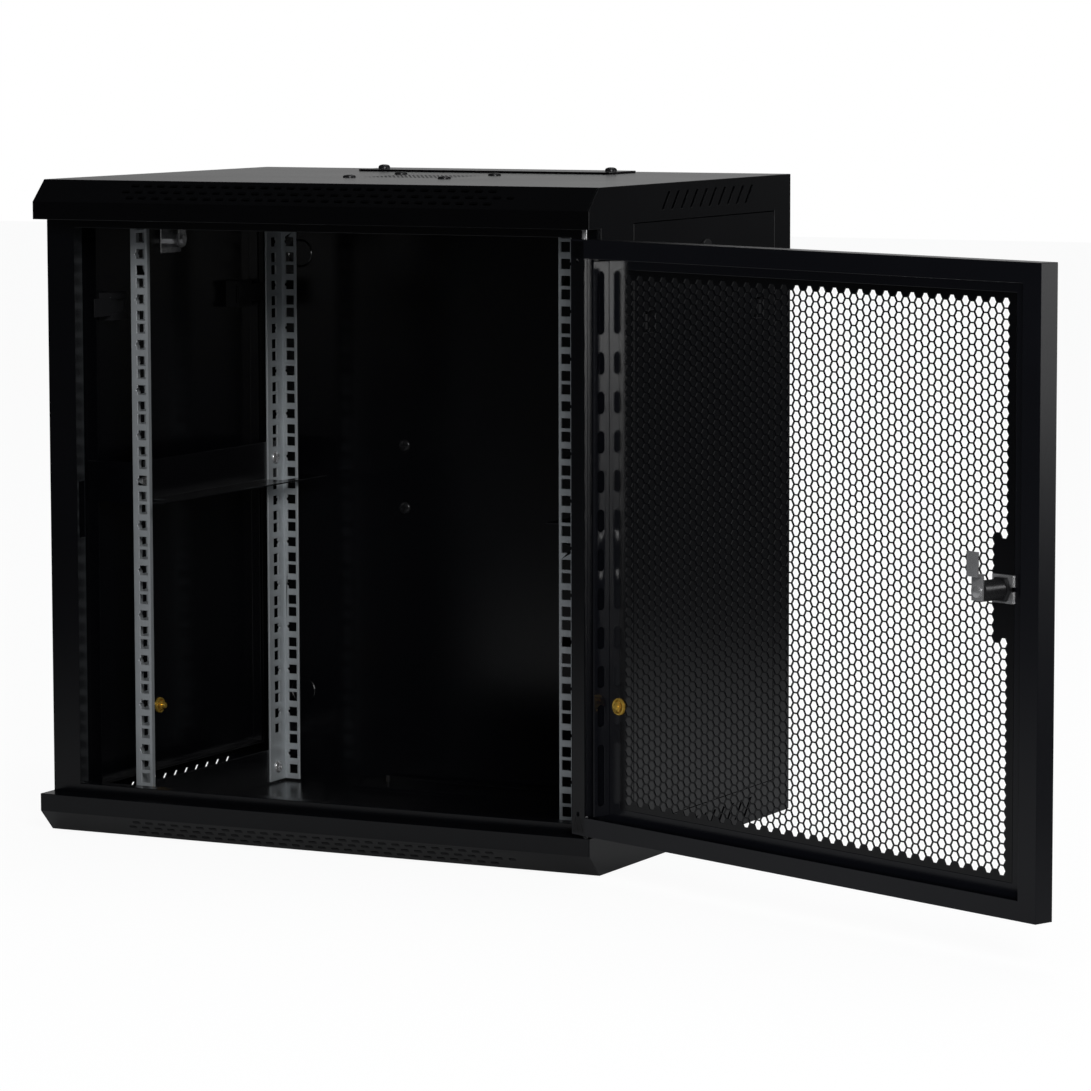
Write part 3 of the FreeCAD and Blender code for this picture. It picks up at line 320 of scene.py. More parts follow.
def finished(name, mesh, slot, body, *replaced, smooth=False):
    """Makes a bmesh or mesh an object in its finish that rides on body and stands for the replaced nodes."""
    if isinstance(mesh, bmesh.types.BMesh):
        made = bpy.data.meshes.new(name)
        mesh.to_mesh(made)
        mesh.free()
    else:
        made = mesh
    piece = bpy.data.objects.new(name, made)
    bpy.context.scene.collection.objects.link(piece)
    made.materials.clear()
    made.materials.append(FINISHES[slot])
    if smooth:
        made.shade_smooth()
        made.set_sharp_from_angle(angle=SMOOTH_ANGLE)
    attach(piece, body)
    if replaced:
        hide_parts(*replaced)
    return piece


# ---- solids carried over with finer cut-outs ----

def skin_of(node):
    """The node's loose triangles joined into one closed skin with flat faces."""
    bm = bmesh.new()
    bm.from_mesh(NODES[node].data)
    bmesh.ops.remove_doubles(bm, verts=bm.verts, dist=SAME_POINT)
    bmesh.ops.dissolve_limit(bm, angle_limit=FLAT_ANGLE, verts=bm.verts, edges=bm.edges)
    return bm


def scratch_object(name, bm):
    mesh = bpy.data.meshes.new(name)
    bm.to_mesh(mesh)
    bm.free()
    piece = bpy.data.objects.new(name, mesh)
    bpy.context.scene.collection.objects.link(piece)
    return piece


def carved(bm, *tools):
    """The closed skin bm after each tool, a pair of operation and bmesh, has been added or taken away."""
    piece = scratch_object("carved", bm)
    helpers = []
    for operation, tool in tools:
        helper = scratch_object("tool", tool)
        modifier = piece.modifiers.new("carve", "BOOLEAN")
        modifier.operation, modifier.solver, modifier.object = operation, "EXACT", helper
        helpers.append(helper)
    bpy.context.view_layer.update()
    made = bpy.data.meshes.new_from_object(piece.evaluated_get(bpy.context.evaluated_depsgraph_get()))
    for scratch in (piece, *helpers):
        bpy.data.objects.remove(scratch)
    return made


def add_block(bm, low, high):
    corners = bmesh.ops.create_cube(bm, size=1.0)["verts"]
    bmesh.ops.scale(bm, vec=Vector(high) - Vector(low), verts=corners)
    bmesh.ops.translate(bm, vec=(Vector(high) + Vector(low)) / 2, verts=corners)


def add_rod(bm, middle, axis, radius, length, sides):
    """A prism of that many sides round an axis through middle."""
    rod = bmesh.ops.create_cone(bm, cap_ends=True, segments=sides,
                                radius1=radius, radius2=radius, depth=length)
    turn = Vector(axis).to_track_quat("Z", "X").to_matrix().to_4x4()
    bmesh.ops.transform(bm, matrix=Matrix.Translation(middle) @ turn, verts=rod["verts"])


def add_round_slot(bm, middle, length, width, depth):
    """An upright prism with a stadium outline, long along X."""
    ends = bmesh.ops.create_cone(bm, cap_ends=True, segments=12,
                                 radius1=width / 2, radius2=width / 2, depth=depth)
    for vertex in ends["verts"]:
        vertex.co.x += math.copysign((length - width) / 2, vertex.co.x + 0.001 * MM)
    bmesh.ops.translate(bm, vec=middle, verts=ends["verts"])


LIP_PITCH = 14.3 * MM
LIP_ROWS = ((5.0 * MM, 0.5), (10.5 * MM, 0.0), (16.2 * MM, 0.5))
LIP_HALF_LENGTH = 203 * MM
LIP_SLOT = (8.8 * MM, 3.0 * MM)
LIP_MIDDLE = 16 * MM
LIP_REACH = 36 * MM
GRILLE_SIDE = 92 * MM
GRILLE_PITCH = 4.6 * MM
GRILLE_HOLE = 1.55 * MM
SHEET = 1.2 * MM
COVER_FOLD = 0.55 * MM


def lip_slots(front, height):
    """Three staggered rows of round ended slots down through a bevelled lip."""
    bm = bmesh.new()
    for setback, shift in LIP_ROWS:
        count = int(LIP_HALF_LENGTH / LIP_PITCH)
        for step in range(-count - 1, count + 1):
            x = (step + shift) * LIP_PITCH
            if abs(x) < LIP_HALF_LENGTH:
                add_round_slot(bm, Vector((x, front + setback, height)), *LIP_SLOT, LIP_REACH)
    return bm


def grille_holes(low, high, middle):
    """Staggered small holes through the roof over the fan."""
    bm = bmesh.new()
    count = int(GRILLE_SIDE / 2 / GRILLE_PITCH)
    for row in range(-count, count + 1):
        for column in range(-count, count + 1):
            x = middle.x + (column + (row % 2) / 2) * GRILLE_PITCH
            if abs(x - middle.x) < GRILLE_SIDE / 2 - GRILLE_HOLE:
                y = middle.y + row * GRILLE_PITCH * math.sin(math.radians(60))
                add_rod(bm, Vector((x, y, (low + high) / 2)), (0, 0, 1), GRILLE_HOLE, 4 * (high - low), 6)
    return bm


def make_covers():
    """Roof and floor with their lips' full rows of slots, and the fine perforation over the fan."""
    low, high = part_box("top_cover")
    fan_low, fan_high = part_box("fan_frame")
    fan = (fan_low + fan_high) / 2
    fill = bmesh.new()
    half = GRILLE_SIDE / 2
    add_block(fill, (fan.x - half, fan.y - half, high.z - SHEET), (fan.x + half, fan.y + half, high.z))
    roof = carved(skin_of("top_cover"), ("UNION", fill),
                  ("DIFFERENCE", grille_holes(high.z - SHEET, high.z, fan)),
                  ("DIFFERENCE", lip_slots(low.y, high.z - LIP_MIDDLE)))
    soften_edges(finished("roof_cover", mark_folds(roof), "black_paint", "cabinet", "top_cover"),
                 COVER_FOLD, 3, marked=True)
    low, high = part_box("bottom_cover")
    floor = carved(skin_of("bottom_cover"), ("DIFFERENCE", lip_slots(low.y, low.z + LIP_MIDDLE)))
    soften_edges(finished("floor_cover", mark_folds(floor), "black_paint", "cabinet", "bottom_cover"),
                 COVER_FOLD, 3, marked=True)


RACK_UNIT = 44.45 * MM
HOLE_OFFSET = 15.875 * MM
HOLE_SIDE = 9.5 * MM
MARK_RADIUS = 1.6 * MM
SIDE_UNITS = 12
FRONT_UNITS = 14
RAIL_GAUGE = 2 * MM
RAIL_ROUND = 0.3 * MM
RACK_HALF_SPACING = 465.1 / 2 * MM
SIDE_HOLE_SETBACK = 18 * MM


def make_rail(node, face_at_low_y):
    """A rack rail with the side leg's square holes and a round notch at every third hole."""
    low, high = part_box(node)
    middle = (low + high) / 2
    side = math.copysign(1, middle.x)
    corner_x = high.x if side > 0 else low.x
    corner_y = low.y if face_at_low_y else high.y
    inward = 1 if face_at_low_y else -1
    hole_y = corner_y + inward * SIDE_HOLE_SETBACK
    tool = bmesh.new()
    half = HOLE_SIDE / 2
    for unit in range(SIDE_UNITS):
        for step in (-1, 0, 1):
            z = middle.z + (unit - (SIDE_UNITS - 1) / 2) * RACK_UNIT + step * HOLE_OFFSET
            add_block(tool, (corner_x - 2 * RAIL_GAUGE, hole_y - half, z - half),
                      (corner_x + 2 * RAIL_GAUGE, hole_y + half, z + half))
    notches = bmesh.new()
    for unit in range(FRONT_UNITS):
        z = middle.z + (unit - (FRONT_UNITS - 1) / 2) * RACK_UNIT
        edge_x = side * (RACK_HALF_SPACING + half)
        add_rod(notches, Vector((edge_x, corner_y, z)), (0, 1, 0), MARK_RADIUS, 3 * RAIL_GAUGE, 12)
        if 0 < unit < FRONT_UNITS - 1:
            edge_y = hole_y - inward * half
            add_rod(notches, Vector((corner_x, edge_y, z)), (1, 0, 0), MARK_RADIUS, 3 * RAIL_GAUGE, 12)
    rail = carved(skin_of(node), ("DIFFERENCE", tool), ("DIFFERENCE", notches))
    soften_edges(finished(f"{node}_punched", rail, "rail_zinc", "cabinet", node), RAIL_ROUND, 1)


# ---- the door's perforated sheet ----

CELL_PITCH = 9.2 * MM
CELL_WIDTH = 8.0 * MM
COLUMN_PITCH = CELL_PITCH * math.sin(math.radians(60))
PLAIN_SIDE = 12 * MM
PLAIN_END = 8 * MM
LOCK_PATCH = (28 * MM, 44 * MM)
CELL_JOIN = 0.05 * MM


def cell_mesh(hole):
    """One flat topped hexagon of sheet in the XZ plane, with or without its hole."""
    bm = bmesh.new()
    corners = bmesh.ops.create_circle(bm, cap_ends=True, segments=6,
                                      radius=CELL_PITCH / math.sqrt(3))["verts"]
    bmesh.ops.rotate(bm, cent=(0, 0, 0), matrix=Matrix.Rotation(math.radians(30), 3, "Z"), verts=corners)
    bmesh.ops.rotate(bm, cent=(0, 0, 0), matrix=Matrix.Rotation(math.radians(90), 3, "X"), verts=corners)
    if hole:
        face = bm.faces[:]
        bmesh.ops.inset_region(bm, faces=face, thickness=(CELL_PITCH - CELL_WIDTH) / 2,
                               use_boundary=True, use_even_offset=True)
        bmesh.ops.delete(bm, geom=face, context="FACES_ONLY")
    made = bpy.data.meshes.new("cell")
    bm.to_mesh(made)
    bm.free()
    return made


def make_door_sheet():
    """About 3000 staggered hexagons with a plain margin and a plain patch beside the lock."""
    low, high = closed_box("door_mesh")
    middle = (low + high) / 2
    columns = int((high.x - low.x) / COLUMN_PITCH) // 2 + 1
    rows = int((high.z - low.z) / CELL_PITCH) // 2 + 1
    open_cell, plain_cell = cell_mesh(True), cell_mesh(False)
    bm = bmesh.new()
    for column in range(-columns, columns + 1):
        for row in range(-rows, rows + 1):
            x = middle.x + column * COLUMN_PITCH
            z = middle.z + (row + (column % 2) / 2) * CELL_PITCH
            in_zone = (low.x + PLAIN_SIDE < x < high.x - PLAIN_SIDE
                       and low.z + PLAIN_END < z < high.z - PLAIN_END)
            at_lock = x < low.x + LOCK_PATCH[0] and abs(z - middle.z) < LOCK_PATCH[1]
            shape = open_cell if in_zone and not at_lock else plain_cell
            place = Matrix.Translation((x, low.y, z))
            shape.transform(place)
            bm.from_mesh(shape)
            shape.transform(place.inverted())
    bmesh.ops.remove_doubles(bm, verts=bm.verts, dist=CELL_JOIN)
    for place, outward in ((low, (-1, 0, 0)), (low, (0, 0, -1)), (high, (1, 0, 0)), (high, (0, 0, 1))):
        bmesh.ops.bisect_plane(bm, geom=bm.verts[:] + bm.edges[:] + bm.faces[:], plane_co=place,
                               plane_no=outward, clear_outer=True)
    raised = bmesh.ops.extrude_face_region(bm, geom=bm.faces[:])["geom"]
    bmesh.ops.translate(bm, vec=(0, high.y - low.y, 0),
                        verts=[item for item in raised if isinstance(item, bmesh.types.BMVert)])
    bmesh.ops.recalc_face_normals(bm, faces=bm.faces)
    bm.transform(DOOR_OPENS)
    finished("door_perforated_sheet", bm, "black_paint", "door", "door_mesh")


LIP_WIDTH = 18.5 * MM
LIP_HOLE_RADIUS = 2 * MM
LIP_HOLE_INSETS = (9 * MM, 19.7 * MM)


def make_hinge_lip():
    """The pan's folded lip along the hinge edge, with a small round hole near each end."""
    low, high = closed_box("door_pan")
    inset, rise = LIP_HOLE_INSETS
    lip = bmesh.new()
    add_block(lip, (high.x - LIP_WIDTH, high.y - SHEET, low.z + SHEET),
              (high.x - SHEET, high.y, high.z - SHEET))
    holes = bmesh.new()
    for z in (low.z + rise, high.z - rise):
        add_rod(holes, Vector((high.x - inset, high.y, z)), (0, 1, 0), LIP_HOLE_RADIUS, 4 * SHEET, 16)
    made = carved(lip, ("DIFFERENCE", holes))
    made.transform(DOOR_OPENS)
    soften_edges(finished("door_hinge_lip", made, "black_paint", "door"), FOLD_WIDTH)


# ---- screws, studs and locks ----

UNTURNED = Matrix.Identity(4)


def islands(node):
    """The vertex places of each loose solid of a node, always in the order of the mesh."""
    bm = bmesh.new()
    bm.from_mesh(NODES[node].data)
    bmesh.ops.remove_doubles(bm, verts=bm.verts, dist=SAME_POINT)
    met, found = set(), []
    for first in bm.verts:
        if first in met:
            continue
        met.add(first)
        ahead, places = [first], []
        while ahead:
            vertex = ahead.pop()
            places.append(vertex.co.copy())
            for edge in vertex.link_edges:
                near = edge.other_vert(vertex)
                if near not in met:
                    met.add(near)
                    ahead.append(near)
        found.append(places)
    bm.free()
    return found


def span(places, axis):
    """Lowest and highest value of places along an axis."""
    return min(place[axis] for place in places), max(place[axis] for place in places)


def standing_at(place, outward):
    """The matrix that stands a piece, drawn along Z, at place and pointing outward."""
    return Matrix.Translation(place) @ Vector(outward).to_track_quat("Z", "Y").to_matrix().to_4x4()


def add_spun(bm, stand, points, links, sides):
    """A closed form spun round the Z axis from its half section, then set on its stand."""
    made = bmesh.new()
    corners = [made.verts.new((radius, 0, height)) for height, radius in points]
    for first, second in links:
        made.edges.new((corners[first], corners[second]))
    bmesh.ops.spin(made, geom=made.verts[:] + made.edges[:], axis=(0, 0, 1),
                   angle=2 * math.pi, steps=sides, use_merge=True)
    bmesh.ops.remove_doubles(made, verts=made.verts, dist=SAME_POINT)
    bmesh.ops.recalc_face_normals(made, faces=made.faces)
    made.transform(stand)
    mesh = bpy.data.meshes.new("spun")
    made.to_mesh(mesh)
    made.free()
    bm.from_mesh(mesh)
    bpy.data.meshes.remove(mesh)


def ring_links(count):
    """Links of a closed half section."""
    return [(step, (step + 1) % count) for step in range(count)]


def add_turned(bm, stand, profile, sides):
    """A turned solid: the profile is pairs of height along the axis and radius."""
    outline = [(profile[0][0], 0.0), *profile, (profile[-1][0], 0.0)]
    add_spun(bm, stand, outline, [(place, place + 1) for place in range(len(outline) - 1)], sides)


RIM_STEPS = 10


def add_rim(bm, stand, radius, thick, height):
    """A round bead that runs round a disc's edge."""
    turns = [2 * math.pi * step / RIM_STEPS for step in range(RIM_STEPS)]
    points = [(height + thick * math.sin(turn), radius + thick * math.cos(turn)) for turn in turns]
    add_spun(bm, stand, points, ring_links(RIM_STEPS), 32)


HEAD_DOME = ((0, 1), (0.35, 1), (0.62, 0.93), (0.84, 0.74), (0.96, 0.45), (1, 0.2))
SHANK_SHARE = 0.8
ARM_LONG, ARM_NARROW = 0.62, 0.12
ARM_FLOOR, ARM_TOP = 0.42, 1.2
LEAST_HEAD = 0.5 * MM
SAME_LEVEL = 0.1 * MM


def cross_screw(radius, height, shank, length):
    """A domed head with a cross recess, standing on the sheet, and its shank below."""
    head = bmesh.new()
    thin = SHANK_SHARE * shank
    add_turned(head, UNTURNED, [(-length, thin), (0, thin)]
               + [(rise * height, wide * radius) for rise, wide in HEAD_DOME], 16)
    arms = []
    for wide, deep in ((ARM_LONG, ARM_NARROW), (ARM_NARROW, ARM_LONG)):
        arms.append(bmesh.new())
        add_block(arms[-1], (-wide * radius, -deep * radius, ARM_FLOOR * height),
                  (wide * radius, deep * radius, ARM_TOP * height))
    return carved(head, ("DIFFERENCE", arms[0]), ("DIFFERENCE", arms[1]))


def make_screws(node, axis):
    """Cross head screws where the node has its plain ones; axis is the number of their common axis."""
    bm, screw = bmesh.new(), None
    sides = [number for number in range(3) if number != axis]
    for places in islands(node):
        low, high = span(places, axis)
        middle = Vector((0, 0, 0))
        for number in sides:
            middle[number] = sum(span(places, number)) / 2

        def reach(level):
            return max(math.hypot(*(place[number] - middle[number] for number in sides))
                       for place in places if abs(place[axis] - level) < SAME_LEVEL)
        outward = Vector((0, 0, 0))
        outward[axis] = 1 if reach(high) > reach(low) else -1
        face, tip = (high, low) if outward[axis] > 0 else (low, high)
        depths = [abs(place[axis] - face) for place in places]
        height = min(depth for depth in depths if depth > LEAST_HEAD)
        middle[axis] = face - outward[axis] * height
        if screw is None:
            screw = cross_screw(reach(face), height, reach(tip), abs(tip - face) - height)
        stand = standing_at(middle, outward)
        screw.transform(stand)
        bm.from_mesh(screw)
        screw.transform(stand.inverted())
    finished(f"{node}_cross_head", bm, SLOT_OF[node], "cabinet", node, smooth=True)


STUD_WASHER = 8 * MM
STUD_NUT = 5 * MM
STUD_PIN = 3 * MM
STUD_RIM = 1.1 * MM
NUT_PROFILE = ((1.5 * MM, STUD_NUT), (3.6 * MM, STUD_NUT), (4.1 * MM, STUD_NUT * 0.86))
DOOR_STUD_REACH = 5.5 * MM


def add_stud(bm, place, outward, reach):
    """Brass stud: a washer with a rounded rim, a nut and the round end of the stud."""
    stand = standing_at(place, outward)
    add_turned(bm, stand, ((0, STUD_WASHER), (0.8 * MM, STUD_WASHER)), 32)
    add_rim(bm, stand, STUD_WASHER - STUD_RIM, STUD_RIM, 1.5 * MM)
    add_turned(bm, stand, NUT_PROFILE, 6)
    pin = ((3 * MM, STUD_PIN), (reach - 0.6 * MM, STUD_PIN), (reach, STUD_PIN - 0.7 * MM))
    add_turned(bm, stand, pin, 20)


def make_studs():
    bm = bmesh.new()
    for places in islands("panel_earth_studs"):
        low, high = span(places, 0)
        y, z = sum(span(places, 1)) / 2, sum(span(places, 2)) / 2
        foot, inward = (low, 1) if low < 0 else (high, -1)
        add_stud(bm, Vector((foot, y, z)), (inward, 0, 0), high - low)
    finished("panel_earth_studs_turned", bm, "brass", "cabinet", "panel_earth_studs", smooth=True)
    low, high = closed_box("door_earth_stud")
    bm = bmesh.new()
    add_stud(bm, Vector(((low.x + high.x) / 2, low.y, (low.z + high.z) / 2)), (0, 1, 0), DOOR_STUD_REACH)
    bm.transform(DOOR_OPENS)
    finished("door_earth_stud_turned", bm, "brass", "door", "door_earth_stud", smooth=True)


LOCK_HEAD = 11 * MM
LOCK_HEAD_RISE = 2 * MM
LOCK_RIM = ((-0.6 * MM, LOCK_HEAD), (0, LOCK_HEAD - 0.8 * MM), (0, 6.6 * MM), (-0.5 * MM, 6.4 * MM),
            (-0.5 * MM, 6.1 * MM), (-0.1 * MM, 5.8 * MM))
LOCK_KEY_SLOT = ((-0.9 * MM, -4.2 * MM, -1.6 * MM), (0.9 * MM, 4.2 * MM, 1 * MM))
LOCK_BARREL = 9 * MM
BARREL_LENGTH = 34 * MM
THREAD_STEP = 0.8 * MM
THREAD_DEPTH = 0.5 * MM
CLIP_DEPTHS = (3.2 * MM, 6.2 * MM)
CLIP_NOTCH = (4 * MM, 2 * MM)
NOTCH_REACH = 8 * MM
LOCK_NUT = ((6.2 * MM, 11.5 * MM), (10 * MM, 11.5 * MM), (10.6 * MM, 10.6 * MM))
SPINDLE = 3 * MM
SPINDLE_HEAD = ((1.6 * MM, 5 * MM), (0.7 * MM, 5 * MM), (0, 3.4 * MM))


def lock_face(bm, stand):
    """Key lock head: bevelled bezel, turned key plug and a slot for the key."""
    head, slot = bmesh.new(), bmesh.new()
    add_turned(head, UNTURNED, ((-LOCK_HEAD_RISE, LOCK_HEAD), *LOCK_RIM), 40)
    add_block(slot, *LOCK_KEY_SLOT)
    made = carved(head, ("DIFFERENCE", slot))
    made.transform(stand)
    bm.from_mesh(made)


def lock_clip(low, high, x, z):
    """The square clip that holds the lock behind the sheet, notched at one side."""
    plate, notch = bmesh.new(), bmesh.new()
    half = (high.x - low.x) / 2
    wide, half_tall = CLIP_NOTCH
    near, far = (low.y + depth for depth in CLIP_DEPTHS)
    add_block(plate, (x - half, near, z - half), (x + half, far, z + half))
    add_block(notch, (x - half, low.y, z - half_tall), (x - half + wide, low.y + NOTCH_REACH, z + half_tall))
    return carved(plate, ("DIFFERENCE", notch))


def make_door_lock():
    """Door lock: key face outside, clip, nut and ringed barrel inside made dark as painted shade, spindle with its
    screw.
    """
    low, high = closed_box("door_lock")
    x, z = (low.x + high.x) / 2, (low.z + high.z) / 2
    shoulder = low.y + BARREL_LENGTH
    bright = bmesh.new()
    lock_face(bright, standing_at(Vector((x, low.y, z)), (0, -1, 0)))
    inward = standing_at(Vector((x, 0, z)), (0, 1, 0))
    bright.from_mesh(lock_clip(low, high, x, z))
    add_turned(bright, inward, ((shoulder - 1 * MM, SPINDLE), (high.y - 1.6 * MM, SPINDLE)), 16)
    add_turned(bright, inward, [(high.y - back, radius) for back, radius in SPINDLE_HEAD], 24)
    bright.transform(DOOR_OPENS)
    finished("door_lock_turned", bright, "bright_nickel", "door", "door_lock", smooth=True)
    # The barrel and nut are bright plated like the lock face; their dark screw finish is painted shade.
    dark = bmesh.new()
    rings = [(low.y + LOCK_HEAD_RISE, LOCK_BARREL)]
    while rings[-1][0] < shoulder - 2 * THREAD_STEP:
        start = rings[-1][0]
        rings += [(start + THREAD_STEP, LOCK_BARREL - THREAD_DEPTH), (start + 2 * THREAD_STEP, LOCK_BARREL)]
    add_turned(dark, inward, rings, 32)
    add_turned(dark, inward, [(low.y + depth, radius) for depth, radius in LOCK_NUT], 6)
    dark.transform(DOOR_OPENS)
    finished("door_lock_barrel_painted_shade", dark, "black_screw", "door", smooth=True)


PANEL_KEY_SLOT = (1.0 * MM, 7 * MM, 1.2 * MM)
PANEL_LOCK_FACE = (2 * MM, 5 * MM)
PANEL_LOCK_MARGIN = 5 * MM
PANEL_LOCK_ROUND = 0.4 * MM


def make_panel_lock(side, sign):
    """A side panel's lock: its plate and barrel inside, its dark round face with a key slot outside."""
    node = f"{side}_panel_lock"
    low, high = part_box(node)
    face = high.x if sign > 0 else low.x
    behind, before = face - sign * PANEL_LOCK_FACE[0], face + sign * PANEL_LOCK_FACE[1]
    first = (min(behind, before), low.y - PANEL_LOCK_MARGIN, low.z - PANEL_LOCK_MARGIN)
    last = (max(behind, before), high.y + PANEL_LOCK_MARGIN, high.z + PANEL_LOCK_MARGIN)
    blocks = [bmesh.new(), bmesh.new()]
    for block in blocks:
        add_block(block, first, last)
    inner = carved(skin_of(node), ("DIFFERENCE", blocks[0]))
    finished(f"{node}_inner", inner, "bright_nickel", "cabinet", node)
    slot, cap = bmesh.new(), skin_of(node)
    rim = [vertex.co for vertex in cap.verts if abs(vertex.co.x - face) < SAME_LEVEL]
    y, z = sum(span(rim, 1)) / 2, sum(span(rim, 2)) / 2
    wide, tall, deep = PANEL_KEY_SLOT
    add_block(slot, (face - deep, y - wide / 2, z - tall / 2), (face + deep, y + wide / 2, z + tall / 2))
    outside = carved(cap, ("INTERSECT", blocks[1]), ("DIFFERENCE", slot))
    soften_edges(finished(f"{node}_face", outside, "black_screw", "cabinet"), PANEL_LOCK_ROUND)


LEVER_CORNER = 5 * MM
LEVER_ROUND = 0.3 * MM
NEARLY_ALONG = 0.99


def rounded_lever(node, axis, turn, back):
    """A lock lever with round ends: the corners seen along the given axis are rounded."""
    bm = skin_of(node)
    bm.transform(turn)
    ends = span([vertex.co for vertex in bm.verts], 2)
    corners = []
    for edge in bm.edges:
        first, second = (vertex.co for vertex in edge.verts)
        along = (second - first).normalized()
        if abs(along[axis]) > NEARLY_ALONG and min(abs(first.z - end) for end in ends) < SAME_LEVEL:
            corners.append(edge)
    bmesh.ops.bevel(bm, geom=corners, offset=LEVER_CORNER, segments=5,
                    affect="EDGES", profile=0.5, material=-1)
    bm.transform(back)
    soften_edges(finished(f"{node}_rounded", bm, "bright_nickel", node, node), LEVER_ROUND)


# ---- back panel ----

KNOCK_OUT_PLACES = [(x * MM, z * MM) for x in (-254, 254) for z in (88, 548)]
KNOCK_OUT_RADIUS = 13.5 * MM
KNOCK_OUT_GROOVE = ((-0.3, -1.6), (-0.3, 1.6), (0.4, 1.1), (1.05, 0), (0.4, -1.1))


def make_back_panel():
    """The back panel with the pressed rings of its four knock-outs."""
    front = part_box("back_panel")[0].y
    rings = bmesh.new()
    half_section = [(depth * MM, KNOCK_OUT_RADIUS + across * MM) for depth, across in KNOCK_OUT_GROOVE]
    for x, z in KNOCK_OUT_PLACES:
        add_spun(rings, standing_at(Vector((x, front, z)), (0, 1, 0)), half_section,
                 ring_links(len(half_section)), 40)
    made = carved(skin_of("back_panel"), ("DIFFERENCE", rings))
    soften_edges(finished("back_panel_pressed", mark_folds(made), "black_paint", "cabinet", "back_panel"),
                 FOLD_WIDTH, marked=True)


# ---- camera, light and floor ----

CAMERA_PLACE = Vector((2.24823, -4.14594, 0.78864))
CAMERA_TURN = math.radians(26.9463)
CAMERA_DIP = math.radians(6.23275)
CAMERA_ROLL = math.radians(-0.12957)
CAMERA_LENS = 158.595
CAMERA_SENSOR = 36.0


def make_camera():
    camera = bpy.data.objects.new("camera", bpy.data.cameras.new("camera"))
    bpy.context.scene.collection.objects.link(camera)
    camera.data.sensor_width = CAMERA_SENSOR
    camera.data.lens = CAMERA_LENS
    camera.data.clip_start, camera.data.clip_end = 0.1, 60.0
    ahead = Vector((-math.sin(CAMERA_TURN) * math.cos(CAMERA_DIP),
                    math.cos(CAMERA_TURN) * math.cos(CAMERA_DIP),
                    -math.sin(CAMERA_DIP)))
    upright = ahead.to_track_quat("-Z", "Y").to_matrix().to_4x4()
    camera.matrix_world = Matrix.Translation(CAMERA_PLACE) @ upright @ Matrix.Rotation(CAMERA_ROLL, 4, "Z")
    bpy.context.scene.camera = camera


def softbox(name, place, aim, width, height, power):
    """A rectangular lamp at place that faces aim; the power is in watts."""
    lamp = bpy.data.lights.new(name, "AREA")
    lamp.shape = "RECTANGLE"
    lamp.size, lamp.size_y, lamp.energy = width, height, power
    piece = bpy.data.objects.new(name, lamp)
    bpy.context.scene.collection.objects.link(piece)
    way = Vector(aim) - Vector(place)
    piece.matrix_world = Matrix.Translation(place) @ way.to_track_quat("-Z", "Y").to_matrix().to_4x4()
    return piece


def flag_lamp(lamp, state, names):
    """Lets the lamp shine only on those pieces (INCLUDE) or on all but those (EXCLUDE)."""
    lit = bpy.data.collections.new(f"{lamp.name}_lit")
    for name in names:
        lit.objects.link(NODES.get(name) or bpy.data.objects[name])
    lamp.light_linking.receiver_collection = lit
    for entry in lit.collection_objects:
        entry.light_linking.link_state = state


WHITE = (1, 1, 1, 1)
BACKDROP_WAY = (-0.20, 0.97, 0.10)
BACKDROP_EDGES = (0.77, 1.0)
BACKDROP_GLOW = (0.025, 0.37)


def backdrop_glow(tree):
    """What shiny surfaces meet: a pale backdrop behind the cabinet and a dark room in front."""
    place = tree.nodes.new("ShaderNodeTexCoord").outputs["Generated"]
    way = tree.nodes.new("ShaderNodeVectorMath")
    way.operation = "DOT_PRODUCT"
    way.inputs[1].default_value = BACKDROP_WAY
    tree.links.new(place, way.inputs[0])
    ramp = tree.nodes.new("ShaderNodeMapRange")
    ramp.interpolation_type = "SMOOTHSTEP"
    for socket, value in zip(ramp.inputs[1:5], (*BACKDROP_EDGES, *BACKDROP_GLOW)):
        socket.default_value = value
    tree.links.new(way.outputs["Value"], ramp.inputs[0])
    glow = tree.nodes.new("ShaderNodeBackground")
    glow.inputs["Color"].default_value = WHITE
    tree.links.new(ramp.outputs[0], glow.inputs["Strength"])
    return glow.outputs[0]


def switched(tree, ray, plain, special):
    """plain for every ray but the named kind, which meets special."""
    path = tree.nodes.new("ShaderNodeLightPath")
    mix = tree.nodes.new("ShaderNodeMixShader")
    tree.links.new(path.outputs[ray], mix.inputs[0])
    tree.links.new(plain, mix.inputs[1])
    tree.links.new(special, mix.inputs[2])
    return mix.outputs[0]


ROOM_COLOUR = (0.93, 0.96, 1.0, 1)
ROOM_STRENGTH = 0.34
LAMPS = {
    "key_light": ((2.9, -3.6, 2.2), (0, 0, 0.3), 1.4, 1.4, 100),
    "right_light": ((4.2, 1.2, 1.0), (0.5, -0.2, 0.35), 1.6, 1.8, 16),
    "door_light": ((2.15, -3.95, 0.5), (0.3, -0.2, 0.35), 0.8, 0.5, 190),
    "rear_light": ((1.2, 3.6, 1.1), (0, 0.2, 0.3), 2.4, 1.6, 60),
    "inside_light": ((2.2, -4.0, 0.9), (0, 0, 0.35), 0.9, 0.9, 17),
    "top_light": ((0.4, 0.6, 3.2), (0, 0, 0.4), 1.6, 1.6, 18),
}
FLAGS = {
    "key_light": ("EXCLUDE", ("roof_cover", "roof_cable_cover")),
    "door_light": ("INCLUDE", ("door_pan", "door_stiffener")),
    "rear_light": ("INCLUDE", ("wall_bracket", "left_side_frame", "left_side_panel",
                               "back_panel_pressed")),
    "inside_light": ("INCLUDE", ("left_side_panel", "back_panel_pressed")),
}


